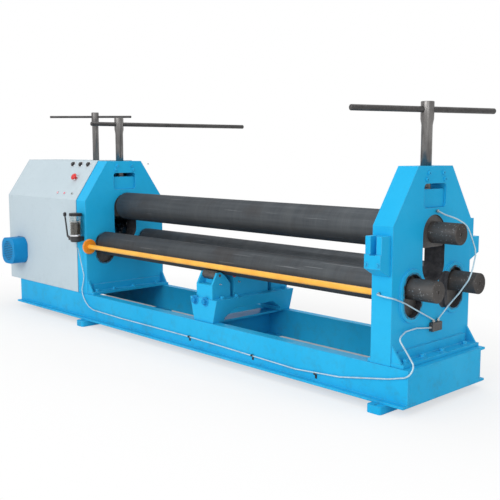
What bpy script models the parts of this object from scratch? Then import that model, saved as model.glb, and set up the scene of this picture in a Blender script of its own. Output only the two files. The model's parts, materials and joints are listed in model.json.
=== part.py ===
"""Mechanical three-roll plate bending machine, at its real size.

X runs along the rolls towards the free end of the shafts, Y from the operator
to the rear, Z up. The machine is first built about the centre plane of its
frames, then moved so that its box stands centred on the origin.
"""

import math

import bmesh
import bpy
from mathutils import Matrix, Vector

# Clearances, metres
TOUCH = 0.0003
RUNNING = 0.0006

# Base: a flanged beam in front, a channel at the rear and channels at the ends
BASE_BEYOND_FRAME = 0.870
BASE_HEIGHT = 0.180
FRONT_WEB_PROUD = 0.005
FRONT_LIP = 0.035
FRONT_FLANGE = 0.065
REAR_FLANGE = 0.050
BASE_WEB = 0.010
BASE_FLANGE_THICK = 0.012
END_FLANGE = 0.050
CROSS_MEMBER_WIDTH = 0.120

# Cross bars under the base, which stand on the floor
FOOT_BAR_WIDTH = 0.085
FOOT_BAR_HEIGHT = 0.040
FOOT_BAR_OVERHANG = 0.044
FOOT_BAR_CORNER = 0.015
RIGHT_FOOT_SHIFT = 0.026
LEFT_FOOT_SHIFT = 0.076
ANCHOR_HOLE_RADIUS = 0.009

# Side frames
WORKING_LENGTH = 2.553
FRAME_THICK = 0.120
FRAME_INSET = 0.107
FRAME_WIDTH = 0.680
FRAME_TOP_WIDTH = 0.295
FRAME_SHOULDER = 0.670
FRAME_HEIGHT = 0.950
FOOT_PLATE_REACH = 0.072
FOOT_PLATE_HEEL = 0.020
FOOT_PLATE_THICK = 0.018
FOOT_PLATE_INSET = 0.004
FOOT_LEG_HEIGHT = 0.065
FOOT_LEG_THICK = 0.012
FOOT_LEG_INSET = 0.040
GUSSET_HEIGHT = 0.105
GUSSET_THICK = 0.012
GUSSET_FOOT = 0.056

# Rolls
TOP_ROLL_RADIUS = 0.098
LOWER_ROLL_RADIUS = 0.083
LOWER_ROLL_SPACING = 0.368
LOWER_ROLL_HEIGHT = 0.360
TOP_ROLL_BELOW_TOP = 0.328
JOURNAL_RADIUS = 0.0535
TAIL_RADIUS = 0.045
SHAFT_OVERHANG = 0.155
BARREL_GAP = 0.025
ROLL_EDGE = 0.004
TAIL_STEP = 0.004
TAIL_BEYOND_SCREW = 0.142

# Slide of the upper bearings in the frames
TOP_TRAVEL = 0.105
SLOT_WIDTH = 0.192
BLOCK_CORNER = 0.024
SLOT_FOOT_RISE = 0.016
BLOCK_BELOW_AXIS = 0.074
BLOCK_ABOVE_AXIS = 0.0875
BLOCK_RECESS = 0.005
WINDOW_FLOOR = 0.034
WINDOW_HEIGHT = 0.120
WINDOW_CORNER = 0.020

# Lower bearings and the raised rims round their openings
OPENING_RADIUS = 0.071
OPENING_DROP = 0.072
BEARING_RECESS = 0.020
RIM_WIDTH = 0.025
RIM_PROUD = 0.012

# Pressing screws, their nuts and their bars
SCREW_RADIUS = 0.028
SCREW_TIP_RADIUS = 0.020
SCREW_TIP_DEPTH = 0.016
SCREW_HEAD_RADIUS = 0.0335
SCREW_HEAD_HEIGHT = 0.086
SCREW_CONE = 0.030
SCREW_ABOVE_FRAME = 0.316
NUT_RECESS = 0.014
NUT_HEADROOM = 0.028
BAR_RADIUS = 0.015
RIGHT_BAR_BELOW_TOP = 0.040
RIGHT_BAR_FRONT = 0.450
RIGHT_BAR_REAR = 0.430
RIGHT_BAR_TURN = 18.0
LEFT_BAR_BELOW_TOP = 0.048
LEFT_BAR_FRONT = 0.220
LEFT_BAR_REAR = 1.090
LEFT_BAR_TURN = 10.0

# Balance screw, which holds the tail of the top roll down
BALANCE_OFFSET = 0.318
BALANCE_RADIUS = 0.024
BALANCE_HEAD_RADIUS = 0.028
BALANCE_HEAD_HEIGHT = 0.070
BALANCE_ABOVE_FRAME = 0.365
BALANCE_BAR_RADIUS = 0.0085
BALANCE_BAR_BELOW_TOP = 0.033
BALANCE_BAR_FRONT = 0.350
BALANCE_BAR_REAR = 0.280
BALANCE_BAR_TURN = 47.0
BRIDGE_HEIGHT = 0.070
BRIDGE_WIDTH = 0.110
BRIDGE_BELOW_TOP = 0.090
BRIDGE_BEYOND_SCREW = 0.060
BRIDGE_BRACE = 0.140
BRIDGE_BRACE_DROP = 0.090
SHOE_HEIGHT = 0.038
SHOE_RADIUS = 0.038

# Gear train
GEAR_MODULE = 0.010
ROLL_GEAR_TEETH = 28
PINION_TEETH = 14
GEAR_FACE = 0.080
GEAR_ADDENDUM = 0.95
GEAR_DEDENDUM = 1.20
GEAR_BACKLASH = 0.0008
GEAR_FROM_FRAME = 0.030
LOWER_SHAFT_BEYOND_GEAR = 0.012
PINION_SHAFT_RADIUS = 0.030
PINION_SHAFT_IN_BOX = 0.060

# Plate under the whole drive
DRIVE_BED_THICK = 0.012
DRIVE_BED_GAP = 0.003

# Worm gearbox, motor and belt
GEARBOX_LENGTH = 0.400
GEARBOX_WIDTH = 0.240
GEARBOX_GAP = 0.040
GEARBOX_HEIGHT = 0.428
GEARBOX_CORNER = 0.030
GEARBOX_FOOT_WIDTH = 0.400
GEARBOX_FOOT_THICK = 0.020
WORM_ABOVE_SHAFT = 0.095
WORM_SHAFT_RADIUS = 0.018
WORM_SHAFT_IN_BOX = 0.050
PULLEY_WIDTH = 0.052
PULLEY_FROM_GEARBOX = 0.040
GEARBOX_PULLEY_RADIUS = 0.125
MOTOR_PULLEY_RADIUS = 0.050
PULLEY_RIM = 0.009
BELT_THICK = 0.008
BELT_WIDTH = 0.038
MOTOR_FROM_COVER_END = 0.185
MOTOR_HEIGHT = 0.239
MOTOR_RADIUS = 0.100
MOTOR_BEHIND_COVER = 0.024
MOTOR_LENGTH = 0.400
MOTOR_SHAFT_RADIUS = 0.014
MOTOR_SHAFT_IN_BODY = 0.050
MOTOR_SEAT = 0.080
COWL_SIZE = 0.205
COWL_PROUD = 0.116
COWL_WALL = 0.004
COWL_SEAT = 0.018
COWL_CORNER = 0.070
COWL_SLOT_ROWS = 11
COWL_SLOT_HALF = 0.0022
COWL_RIM = 0.026

# Sheet metal cover of the drive
COVER_LENGTH = 1.030
COVER_SHEET = 0.003
COVER_PROUD = 0.004

# Controls, distances down the slope from its upper edge and from the frame
BUTTON_RADIUS = 0.013
BUTTON_COLLAR_RADIUS = 0.019
BUTTON_COLLAR = 0.004
BUTTON_PROUD = 0.016
BUTTON_TRAVEL = 0.004
BUTTON_STEM_RADIUS = 0.008
BUTTON_STEM = 0.030
BUTTON_PITCH = 0.106
BUTTON_DOWN = 0.038
BUTTON_FROM_FRAME = 0.093
STOP_RADIUS = 0.026
STOP_STEM_RADIUS = 0.010
STOP_PROUD = 0.040
STOP_CAP = 0.018
STOP_DOWN = 0.161
STOP_FROM_FRAME = 0.153
CONTROL_HOLE_DEPTH = 0.020

# Guard rod in front of the lower rolls
ROD_RADIUS = 0.0165
ROD_FLANGE_RADIUS = 0.054
ROD_FLANGE_THICK = 0.016
ROD_BEHIND_EDGE = 0.020
ROD_HEIGHT = 0.344

# Stand in the middle of the base, with rollers under both lower rolls
SUPPORT_FROM_LEFT = 1.280
SUPPORT_TOP_WIDTH = 0.246
SUPPORT_FOOT_WIDTH = 0.175
SUPPORT_BEAM_HEIGHT = 0.140
SUPPORT_INSET = 0.010
SUPPORT_ARCH_HALF = 0.240
SUPPORT_ARCH_TOP_HALF = 0.160
SUPPORT_ARCH_HEIGHT = 0.075
LOBE_WIDTH = 0.147
LOBE_FRONT_HEIGHT = 0.226
LOBE_TOP_HEIGHT = 0.298
LOBE_OUTER = 0.320
LOBE_SHOULDER = 0.282
LOBE_CREST = 0.238
LOBE_GAP_OUTER = 0.176
LOBE_GAP_INNER = 0.145
ROLL_CLEARANCE = 0.006
SUPPORT_ROLLER_RADIUS = 0.027
SUPPORT_ROLLER_OFFSET = 0.076
SUPPORT_PIN_RADIUS = 0.009
CHEEK = 0.014

# Brackets on the edges of the right frame, levels above the base
BRACKET_THICK = 0.096
BRACKET_SLOT = 0.035
FRONT_BRACKET = (0.430, 0.472, 0.540, 0.626, 0.078, 0.070)
REAR_BRACKET = (0.440, 0.484, 0.570, 0.670, 0.105, 0.045)
BRACKET_SLOT_FROM_EDGE = 0.024
BRACKET_SLOT_DEPTH = 0.050

# Hand pump for the lubricating grease
PUMP_FROM_MIDDLE = 0.010
PUMP_RADIUS = 0.040
PUMP_BASE_HEIGHT = 0.040
PUMP_HEIGHT = 0.380
PUMP_STANDOFF = 0.010
RESERVOIR_RADIUS = 0.042
RESERVOIR_HEIGHT = 0.145
RESERVOIR_WALL = 0.003
LID_RADIUS = 0.046
LID_HEIGHT = 0.020
LEVER_PIVOT_OUT = 0.058
LEVER_PIVOT_UP = 0.020
LEVER_Y = -0.012
LEVER_BEND = (-0.037, 0.017)
LEVER_TOP = (-0.067, 0.167)
LEVER_HALF_WIDTH = 0.006
LEVER_THICK = 0.006
LEVER_EYE_RADIUS = 0.010
LEVER_PIN_RADIUS = 0.004
LEVER_KNOB_RADIUS = 0.012

# Lubricating pipes
PIPE_RADIUS = 0.004
PIPE_TURN = math.radians(14)
PIPE_SPACING = 0.080
MAIN_PIPE_SPACING = 0.300
PIPE_LEAD = 0.050
MANIFOLD_Y = 0.0185
MANIFOLD_Z = 0.325
MANIFOLD_SIZE = (0.022, 0.083, 0.044)

# Steps round a turned piece
FINE = 32
MEDIUM = 24
SMALL = 12
CONTROL = 18
ARCH_STEPS = 20

# Worked out from the sizes above
RIGHT_OUTER = -FRAME_INSET
RIGHT_INNER = RIGHT_OUTER - FRAME_THICK
LEFT_INNER = RIGHT_INNER - WORKING_LENGTH
LEFT_OUTER = LEFT_INNER - FRAME_THICK
RIGHT_MIDDLE = (RIGHT_OUTER + RIGHT_INNER) / 2
LEFT_MIDDLE = (LEFT_OUTER + LEFT_INNER) / 2
BASE_LENGTH = BASE_BEYOND_FRAME - LEFT_OUTER
RIGHT_FOOT_X = RIGHT_MIDDLE + RIGHT_FOOT_SHIFT
LEFT_FOOT_X = LEFT_MIDDLE + LEFT_FOOT_SHIFT
SUPPORT_X = LEFT_INNER + SUPPORT_FROM_LEFT
PUMP_X = LEFT_MIDDLE + PUMP_FROM_MIDDLE
BASE_TOP = BASE_HEIGHT
FRAME_FLOOR = BASE_TOP + TOUCH
FRAME_EDGE = FRAME_WIDTH / 2
FRONT_WEB_Y = -FRAME_EDGE - FRONT_WEB_PROUD
REAR_WEB_Y = FRAME_EDGE - REAR_FLANGE
ROD_Y = ROD_BEHIND_EDGE - FRAME_EDGE
SUPPORT_END = FRAME_EDGE - SUPPORT_INSET
FRAME_TOP = BASE_TOP + FRAME_HEIGHT
SHOULDER_Z = BASE_TOP + FRAME_SHOULDER
TOP_AXIS = FRAME_TOP - TOP_ROLL_BELOW_TOP
LOWER_AXIS = BASE_TOP + LOWER_ROLL_HEIGHT
HALF_SPACING = LOWER_ROLL_SPACING / 2
BLOCK_TOP = TOP_AXIS + BLOCK_ABOVE_AXIS
SLOT_TOP = BLOCK_TOP + RUNNING
SLOT_HEAD = SLOT_TOP - SLOT_WIDTH / 2
SLOT_FOOT = TOP_AXIS - BLOCK_BELOW_AXIS - TOP_TRAVEL + SLOT_FOOT_RISE
WINDOW_BOTTOM = SLOT_TOP + WINDOW_FLOOR
WINDOW_TOP = WINDOW_BOTTOM + WINDOW_HEIGHT
SCREW_TOP = FRAME_TOP + SCREW_ABOVE_FRAME
BALANCE_X = LEFT_MIDDLE - BALANCE_OFFSET
BALANCE_TOP = FRAME_TOP + BALANCE_ABOVE_FRAME
TAIL_END = BALANCE_X - TAIL_BEYOND_SCREW
GEAR_RIGHT = LEFT_OUTER - GEAR_FROM_FRAME
GEAR_LEFT = GEAR_RIGHT - GEAR_FACE
ROLL_GEAR_RADIUS = GEAR_MODULE * ROLL_GEAR_TEETH / 2
PINION_RADIUS = GEAR_MODULE * PINION_TEETH / 2
PINION_DROP = math.sqrt((ROLL_GEAR_RADIUS + PINION_RADIUS) ** 2 - HALF_SPACING**2)
PINION_AXIS = LOWER_AXIS - PINION_DROP
BED_FLOOR = BASE_TOP + TOUCH
BED_TOP = BED_FLOOR + DRIVE_BED_THICK
DRIVE_FLOOR = BED_TOP + TOUCH
GEARBOX_RIGHT = GEAR_LEFT - GEARBOX_GAP
GEARBOX_MIDDLE = GEARBOX_RIGHT - GEARBOX_LENGTH / 2
WORM_AXIS = PINION_AXIS + WORM_ABOVE_SHAFT
MOTOR_AXIS = BASE_TOP + MOTOR_HEIGHT
COVER_LEFT = LEFT_OUTER - COVER_LENGTH
COVER_FACE = -FRAME_EDGE - COVER_PROUD
MOTOR_X = COVER_LEFT + MOTOR_FROM_COVER_END
MOTOR_FRONT = COVER_FACE + MOTOR_BEHIND_COVER
PULLEY_Y = GEARBOX_WIDTH / 2 + PULLEY_FROM_GEARBOX + PULLEY_WIDTH / 2

BLUE = (0.030, 0.420, 0.760)
COVER_GREY = (0.700, 0.760, 0.800)
STEEL = (0.075, 0.080, 0.092)
BRIGHT_STEEL = (0.420, 0.430, 0.450)
BRONZE = (0.480, 0.300, 0.130)
YELLOW = (0.900, 0.420, 0.050)
BLACK = (0.020, 0.020, 0.022)
RED = (0.620, 0.030, 0.025)


def clear_scene():
    for item in list(bpy.data.objects):
        bpy.data.objects.remove(item, do_unlink=True)


def material(name, colour, roughness, metallic=0.0):
    made = bpy.data.materials.new(name)
    made.use_nodes = True
    shader = made.node_tree.nodes["Principled BSDF"]
    shader.inputs["Base Color"].default_value = (*colour, 1.0)
    shader.inputs["Roughness"].default_value = roughness
    shader.inputs["Metallic"].default_value = metallic
    return made


def finish_mesh(bm, name, at, finish, parent, smooth=False):
    """Turns a bmesh into a named object whose origin is at the point given."""
    bmesh.ops.remove_doubles(bm, verts=bm.verts, dist=1e-6)
    bmesh.ops.recalc_face_normals(bm, faces=bm.faces)
    mesh = bpy.data.meshes.new(name)
    bm.to_mesh(mesh)
    bm.free()
    if smooth:
        mesh.shade_smooth()
        mesh.set_sharp_from_angle(angle=math.radians(35))
    obj = bpy.data.objects.new(name, mesh)
    bpy.context.scene.collection.objects.link(obj)
    obj.location = at
    obj.parent = parent
    if finish:
        mesh.materials.append(finish)
    return obj


def along(axis, a, b, c):
    """A point from its distance along an axis and its two cross distances."""
    if axis == "X":
        return Vector((a, b, c))
    if axis == "Y":
        return Vector((b, a, c))
    return Vector((b, c, a))


def add_prism(bm, outline, axis, low, high):
    """A closed outline, in the two other axes in order, pulled along an axis."""
    first = [bm.verts.new(along(axis, low, b, c)) for b, c in outline]
    second = [bm.verts.new(along(axis, high, b, c)) for b, c in outline]
    count = len(outline)
    for i in range(count):
        j = (i + 1) % count
        bm.faces.new((first[i], first[j], second[j], second[i]))
    bm.faces.new(list(reversed(first)))
    bm.faces.new(second)


def prism(name, outline, axis, low, high, finish, parent, at=(0, 0, 0)):
    bm = bmesh.new()
    add_prism(bm, outline, axis, low, high)
    return finish_mesh(bm, name, at, finish, parent)


def box(name, low, high, finish, parent, at=(0, 0, 0)):
    outline = [(low[1], low[2]), (high[1], low[2]), (high[1], high[2]), (low[1], high[2])]
    return prism(name, outline, "X", low[0], high[0], finish, parent, at)


def add_turned(bm, profile, axis, steps, closed=False):
    """Points (distance, radius) turned about an axis: a bar, or a ring if closed."""
    rings = []
    for distance, radius in profile:
        ring = []
        for i in range(steps):
            angle = 2 * math.pi * i / steps
            cross = (radius * math.cos(angle), radius * math.sin(angle))
            ring.append(bm.verts.new(along(axis, distance, *cross)))
        rings.append(ring)
    pairs = list(zip(rings, rings[1:]))
    if closed:
        pairs.append((rings[-1], rings[0]))
    for one, two in pairs:
        for i in range(steps):
            j = (i + 1) % steps
            bm.faces.new((one[i], one[j], two[j], two[i]))
    if not closed:
        bm.faces.new(list(reversed(rings[0])))
        bm.faces.new(rings[-1])


def turned(name, profile, axis, finish, parent, at=(0, 0, 0), steps=FINE, closed=False):
    bm = bmesh.new()
    add_turned(bm, profile, axis, steps, closed)
    return finish_mesh(bm, name, at, finish, parent, smooth=True)


def cylinder(name, axis, low, high, radius, finish, parent, at=(0, 0, 0), steps=MEDIUM):
    return turned(name, [(low, radius), (high, radius)], axis, finish, parent, at, steps)


def tool(obj):
    obj.hide_render = True
    obj.display_type = "WIRE"
    return obj


def combine(obj, other, operation):
    tool(other)
    change = obj.modifiers.new(other.name, "BOOLEAN")
    change.operation = operation
    change.solver = "EXACT"
    change.object = other


def cut(obj, other):
    combine(obj, other, "DIFFERENCE")


def join(obj, other):
    combine(obj, other, "UNION")


def arc(centre, radius, start, end, steps):
    """Points along an arc, with its angles in degrees."""
    points = []
    for i in range(steps + 1):
        angle = math.radians(start + (end - start) * i / steps)
        points.append((centre[0] + radius * math.cos(angle), centre[1] + radius * math.sin(angle)))
    return points


def arch(half_width, bottom, top, centre=0.0, corner=0.012):
    """An opening with a round head and small round corners at its foot."""
    left = arc((centre - half_width + corner, bottom + corner), corner, 180, 270, 4)
    right = arc((centre + half_width - corner, bottom + corner), corner, 270, 360, 4)
    head = arc((centre, top - half_width), half_width, 0, 180, ARCH_STEPS)
    return left + right + head


def rounded(width, height, corner, centre=(0.0, 0.0), steps=5):
    """A rectangle with round corners."""
    points = []
    corners = ((1, -1, 270), (1, 1, 0), (-1, 1, 90), (-1, -1, 180))
    for side, level, start in corners:
        x = centre[0] + side * (width / 2 - corner)
        z = centre[1] + level * (height / 2 - corner)
        points += arc((x, z), corner, start, start + 90, steps)
    return points


def obround(centre, radius, drop, steps=14):
    """A round head above a round foot that lies lower by the drop."""
    head = arc(centre, radius, 0, 180, steps)
    foot = arc((centre[0], centre[1] - drop), radius, 180, 360, steps)
    return head + foot


def frame_profile(inset=0.0, floor=None):
    """The six-sided outline that the frames and the cover share."""
    half = FRAME_WIDTH / 2
    top_half = FRAME_TOP_WIDTH / 2
    slope = math.atan2(FRAME_TOP - SHOULDER_Z, half - top_half)
    low_shift = inset * math.tan(slope / 2)
    top_shift = inset / math.tan((math.pi - slope) / 2)
    floor = FRAME_FLOOR if floor is None else floor
    return [
        (-half + inset, floor),
        (half - inset, floor),
        (half - inset, SHOULDER_Z - low_shift),
        (top_half - top_shift, FRAME_TOP - inset),
        (-top_half + top_shift, FRAME_TOP - inset),
        (-half + inset, SHOULDER_Z - low_shift),
    ]


def gear_outline(teeth, phase):
    """Involute teeth of a 20 degree gear, with one tooth centred on the phase."""
    pressure = math.radians(20)
    pitch_radius = GEAR_MODULE * teeth / 2
    base_radius = pitch_radius * math.cos(pressure)
    tip_radius = pitch_radius + GEAR_ADDENDUM * GEAR_MODULE
    root_radius = pitch_radius - GEAR_DEDENDUM * GEAR_MODULE
    half_at_pitch = math.pi / (2 * teeth) - GEAR_BACKLASH / (4 * pitch_radius)
    involute_at_pitch = math.tan(pressure) - pressure

    def half_angle(radius):
        roll = math.acos(min(1.0, base_radius / radius))
        return half_at_pitch + involute_at_pitch - (math.tan(roll) - roll)

    first = max(root_radius, base_radius)
    side = [(root_radius, half_angle(first))] if root_radius < first else []
    for radius in (first, pitch_radius, (pitch_radius + tip_radius) / 2, tip_radius):
        side.append((radius, half_angle(radius)))
    points = []
    for tooth in range(teeth):
        middle = phase + 2 * math.pi * tooth / teeth
        for radius, half in side:
            points.append((radius * math.cos(middle - half), radius * math.sin(middle - half)))
        for radius, half in reversed(side):
            points.append((radius * math.cos(middle + half), radius * math.sin(middle + half)))
    return points


def mesh_phase(direction, teeth, other_teeth, other_phase):
    """The phase that puts a gear in mesh with another that lies in a direction from it."""
    from_other = direction + math.pi
    fraction = (from_other - other_phase) * other_teeth / (2 * math.pi)
    return direction - (0.5 - fraction) * 2 * math.pi / teeth


def smooth_route(points, longest):
    """A smooth route through points, straight at both ends and closer set where it bends."""
    points = [Vector(point) for point in points]
    dense = []
    for i in range(1, len(points) - 2):
        before, start, end, after = points[i - 1 : i + 3]
        for step in range(12):
            t = step / 12
            blend = 2 * start + (end - before) * t
            blend += (2 * before - 5 * start + 4 * end - after) * t**2
            blend += (3 * start - before - 3 * end + after) * t**3
            dense.append(blend / 2)
    dense.append(points[-2])
    kept = [points[0], points[1]]
    heading = points[1] - points[0]
    for one, two in zip(dense[1:], dense[2:]):
        step = two - one
        if step.angle(heading) > PIPE_TURN or (one - kept[-1]).length > longest:
            kept.append(one)
            heading = step
    return [*kept, points[-2], points[-1]]


def pipe(name, points, radius, finish, parent, longest):
    """A tube along a smooth route, as a curve with filled ends."""
    curve = bpy.data.curves.new(name, "CURVE")
    curve.dimensions = "3D"
    curve.bevel_depth = radius
    curve.bevel_resolution = 2
    curve.use_fill_caps = True
    route = smooth_route(points, longest)
    spline = curve.splines.new("POLY")
    spline.points.add(len(route) - 1)
    for target, point in zip(spline.points, route):
        target.co = (*point, 1.0)
    obj = bpy.data.objects.new(name, curve)
    bpy.context.scene.collection.objects.link(obj)
    obj.parent = parent
    curve.materials.append(finish)
    return obj


def channel(tip, back, bottom, top):
    """A channel section: its web at the back, its flanges reaching to the tip."""
    side = 1 if tip > back else -1
    web = back + side * BASE_WEB
    return [
        (back, bottom),
        (tip, bottom),
        (tip, bottom + BASE_FLANGE_THICK),
        (web, bottom + BASE_FLANGE_THICK),
        (web, top - BASE_FLANGE_THICK),
        (tip, top - BASE_FLANGE_THICK),
        (tip, top),
        (back, top),
    ]


def close_corner(beam, side, ends, start, machine):
    """Runs an end beam's web on between the front beam's flanges."""
    low = (ends[0], FRONT_WEB_Y + BASE_WEB + TOUCH, BASE_FLANGE_THICK + TOUCH)
    high = (ends[1], start + BASE_WEB, BASE_TOP - BASE_FLANGE_THICK - TOUCH)
    join(beam, box(f"{side}_corner_plate", low, high, None, machine))


def build_base(machine, paint):
    front = FRONT_WEB_Y
    section = [
        (front - FRONT_LIP, 0.0),
        (front + FRONT_FLANGE, 0.0),
        (front + FRONT_FLANGE, BASE_FLANGE_THICK),
        (front + BASE_WEB, BASE_FLANGE_THICK),
        (front + BASE_WEB, BASE_TOP - BASE_FLANGE_THICK),
        (front + FRONT_FLANGE, BASE_TOP - BASE_FLANGE_THICK),
        (front + FRONT_FLANGE, BASE_TOP),
        (front, BASE_TOP),
        (front, BASE_FLANGE_THICK),
        (front - FRONT_LIP, BASE_FLANGE_THICK),
    ]
    prism("base_front_beam", section, "X", -BASE_LENGTH, 0.0, paint, machine)
    section = channel(REAR_WEB_Y + REAR_FLANGE, REAR_WEB_Y, 0.0, BASE_TOP)
    prism("base_rear_beam", section, "X", -BASE_LENGTH, 0.0, paint, machine)
    low = front + FRONT_FLANGE + TOUCH
    high = REAR_WEB_Y - TOUCH
    section = channel(-END_FLANGE, 0.0, 0.0, BASE_TOP)
    beam = prism("base_end_beam_right", section, "Y", low, high, paint, machine)
    close_corner(beam, "right", (-BASE_WEB, 0.0), low, machine)
    section = channel(END_FLANGE - BASE_LENGTH, -BASE_LENGTH, 0.0, BASE_TOP)
    beam = prism("base_end_beam_left", section, "Y", low, high, paint, machine)
    close_corner(beam, "left", (-BASE_LENGTH, BASE_WEB - BASE_LENGTH), low, machine)
    start = SUPPORT_X - CROSS_MEMBER_WIDTH / 2
    section = channel(start + CROSS_MEMBER_WIDTH, start, 0.0, BASE_TOP)
    prism("base_cross_member", section, "Y", low, high, paint, machine)


def build_feet(machine, paint):
    front = FRONT_WEB_Y - FRONT_LIP - FOOT_BAR_OVERHANG
    rear = REAR_WEB_Y + REAR_FLANGE + FOOT_BAR_OVERHANG
    for side, middle in (("left", LEFT_FOOT_X), ("right", RIGHT_FOOT_X)):
        centre = (middle, (front + rear) / 2)
        outline = rounded(FOOT_BAR_WIDTH, rear - front, FOOT_BAR_CORNER, centre)
        ends = (-FOOT_BAR_HEIGHT, -TOUCH)
        bar = prism(f"foot_bar_{side}", outline, "Z", *ends, paint, machine)
        inset = FOOT_BAR_OVERHANG / 2
        for end, y in (("front", front + inset), ("rear", rear - inset)):
            hole = cylinder(
                f"foot_hole_{side}_{end}", "Z", -2 * FOOT_BAR_HEIGHT, FOOT_BAR_HEIGHT,
                ANCHOR_HOLE_RADIUS, None, machine, (middle, y, 0), SMALL,
            )
            cut(bar, hole)


def build_frame(side, low, high, outer, machine, paint):
    """A side plate on its foot, gussets towards +X, and every opening cut through it."""
    middle = (low + high) / 2
    out = 1 if outer == high else -1
    frame = prism(f"{side}_side_frame", frame_profile(), "X", low, high, paint, machine)
    sunk = 0.002
    half = FRAME_EDGE - FOOT_PLATE_INSET
    plate_low = (low - FOOT_PLATE_HEEL, -half, FRAME_FLOOR)
    plate_high = (high + FOOT_PLATE_REACH, half, FRAME_FLOOR + FOOT_PLATE_THICK)
    join(frame, box(f"{side}_foot_plate", plate_low, plate_high, None, machine))
    leg_half = half - FOOT_LEG_INSET
    leg_floor = FRAME_FLOOR + FOOT_PLATE_THICK - sunk
    leg_low = (low - FOOT_LEG_THICK, -leg_half, leg_floor)
    leg_high = (high + FOOT_LEG_THICK, leg_half, FRAME_FLOOR + FOOT_LEG_HEIGHT)
    join(frame, box(f"{side}_foot_leg", leg_low, leg_high, None, machine))
    floor = FRAME_FLOOR + FOOT_PLATE_THICK - sunk
    crest = FRAME_FLOOR + GUSSET_HEIGHT
    gusset = [
        (high - sunk, floor),
        (high + GUSSET_FOOT, floor),
        (high + GUSSET_FOOT, floor + 2 * sunk),
        (high - sunk, crest),
    ]
    for end in (-1, 1):
        ends = sorted((end * (half - sunk), end * (half - sunk - GUSSET_THICK)))
        join(frame, prism(f"{side}_gusset_{end}", gusset, "Y", *ends, None, machine))
    rim = (outer - out * sunk, outer + out * RIM_PROUD)
    for end in (-1, 1):
        centre = (end * HALF_SPACING, LOWER_AXIS)
        outline = obround(centre, OPENING_RADIUS + RIM_WIDTH, OPENING_DROP)
        join(frame, prism(f"{side}_rim_{end}", outline, "X", *sorted(rim), None, machine))
    past = (low - 2 * RIM_PROUD, high + 2 * RIM_PROUD)
    slot = obround((0.0, SLOT_HEAD), SLOT_WIDTH / 2, SLOT_HEAD - SLOT_FOOT, ARCH_STEPS)
    cut(frame, prism(f"{side}_slot", slot, "X", *past, None, machine))
    centre = (0.0, (WINDOW_BOTTOM + WINDOW_TOP) / 2)
    window = rounded(SLOT_WIDTH, WINDOW_HEIGHT, WINDOW_CORNER, centre)
    cut(frame, prism(f"{side}_window", window, "X", *past, None, machine))
    for end in (-1, 1):
        outline = obround((end * HALF_SPACING, LOWER_AXIS), OPENING_RADIUS, OPENING_DROP)
        cut(frame, prism(f"{side}_opening_{end}", outline, "X", *past, None, machine))
    at = (middle, 0, 0)
    bore = (SLOT_TOP - SLOT_WIDTH / 4, FRAME_TOP + SLOT_WIDTH)
    radius = SCREW_RADIUS + 2 * RUNNING
    cut(frame, cylinder(f"{side}_screw_hole", "Z", *bore, radius, None, machine, at))


def build_nut(side, middle, machine, paint):
    """The block that stands in a frame's window and holds the screw's thread."""
    half_width = SLOT_WIDTH / 2 - TOUCH
    half_thick = FRAME_THICK / 2 - NUT_RECESS
    height = WINDOW_HEIGHT - NUT_HEADROOM
    outline = rounded(2 * half_width, height, WINDOW_CORNER, (0.0, height / 2))
    at = (middle, 0, WINDOW_BOTTOM + TOUCH)
    name = f"{side}_screw_nut"
    nut = prism(name, outline, "X", -half_thick, half_thick, paint, machine, at)
    bore = (-WINDOW_HEIGHT, 2 * WINDOW_HEIGHT)
    radius = SCREW_RADIUS + RUNNING
    cut(nut, cylinder(f"{name}_bore", "Z", *bore, radius, None, machine, at))


def build_top_bearing(side, middle, machine, metal):
    half_thick = FRAME_THICK / 2 - BLOCK_RECESS
    half_width = SLOT_WIDTH / 2 - RUNNING
    bottom = -BLOCK_BELOW_AXIS
    outline = arch(half_width, bottom, BLOCK_ABOVE_AXIS, 0.0, BLOCK_CORNER)
    at = (middle, 0, TOP_AXIS)
    name = f"top_bearing_{side}"
    block = prism(name, outline, "X", -half_thick, half_thick, metal, machine, at)
    past = (-FRAME_THICK, FRAME_THICK)
    radius = JOURNAL_RADIUS + RUNNING
    cut(block, cylinder(f"{name}_bore", "X", *past, radius, None, machine, at, FINE))
    pocket = (BLOCK_ABOVE_AXIS - SCREW_TIP_DEPTH - TOUCH, BLOCK_ABOVE_AXIS + SCREW_TIP_DEPTH)
    radius = SCREW_TIP_RADIUS + TOUCH
    cut(block, cylinder(f"{name}_pocket", "Z", *pocket, radius, None, machine, at, MEDIUM))


def build_lower_bearing(name, middle, y, machine, metal):
    half_thick = FRAME_THICK / 2 - BEARING_RECESS
    outline = obround((0.0, 0.0), OPENING_RADIUS - TOUCH, OPENING_DROP)
    at = (middle, y, LOWER_AXIS)
    block = prism(name, outline, "X", -half_thick, half_thick, metal, machine, at)
    past = (-FRAME_THICK, FRAME_THICK)
    radius = JOURNAL_RADIUS + RUNNING
    cut(block, cylinder(f"{name}_bore", "X", *past, radius, None, machine, at, FINE))


def roll_profile(radius, left_end, left_radius, right_end):
    """A roll barrel between the frames with a journal at each end."""
    left = LEFT_INNER + BARREL_GAP
    right = RIGHT_INNER - BARREL_GAP
    return [
        (left_end, left_radius - ROLL_EDGE),
        (left_end + ROLL_EDGE, left_radius),
        (LEFT_OUTER - TAIL_STEP, left_radius),
        (LEFT_OUTER - TAIL_STEP / 2, JOURNAL_RADIUS),
        (left, JOURNAL_RADIUS),
        (left, radius - ROLL_EDGE),
        (left + ROLL_EDGE, radius),
        (right - ROLL_EDGE, radius),
        (right, radius - ROLL_EDGE),
        (right, JOURNAL_RADIUS),
        (right_end - ROLL_EDGE, JOURNAL_RADIUS),
        (right_end, JOURNAL_RADIUS - ROLL_EDGE),
    ]


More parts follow.
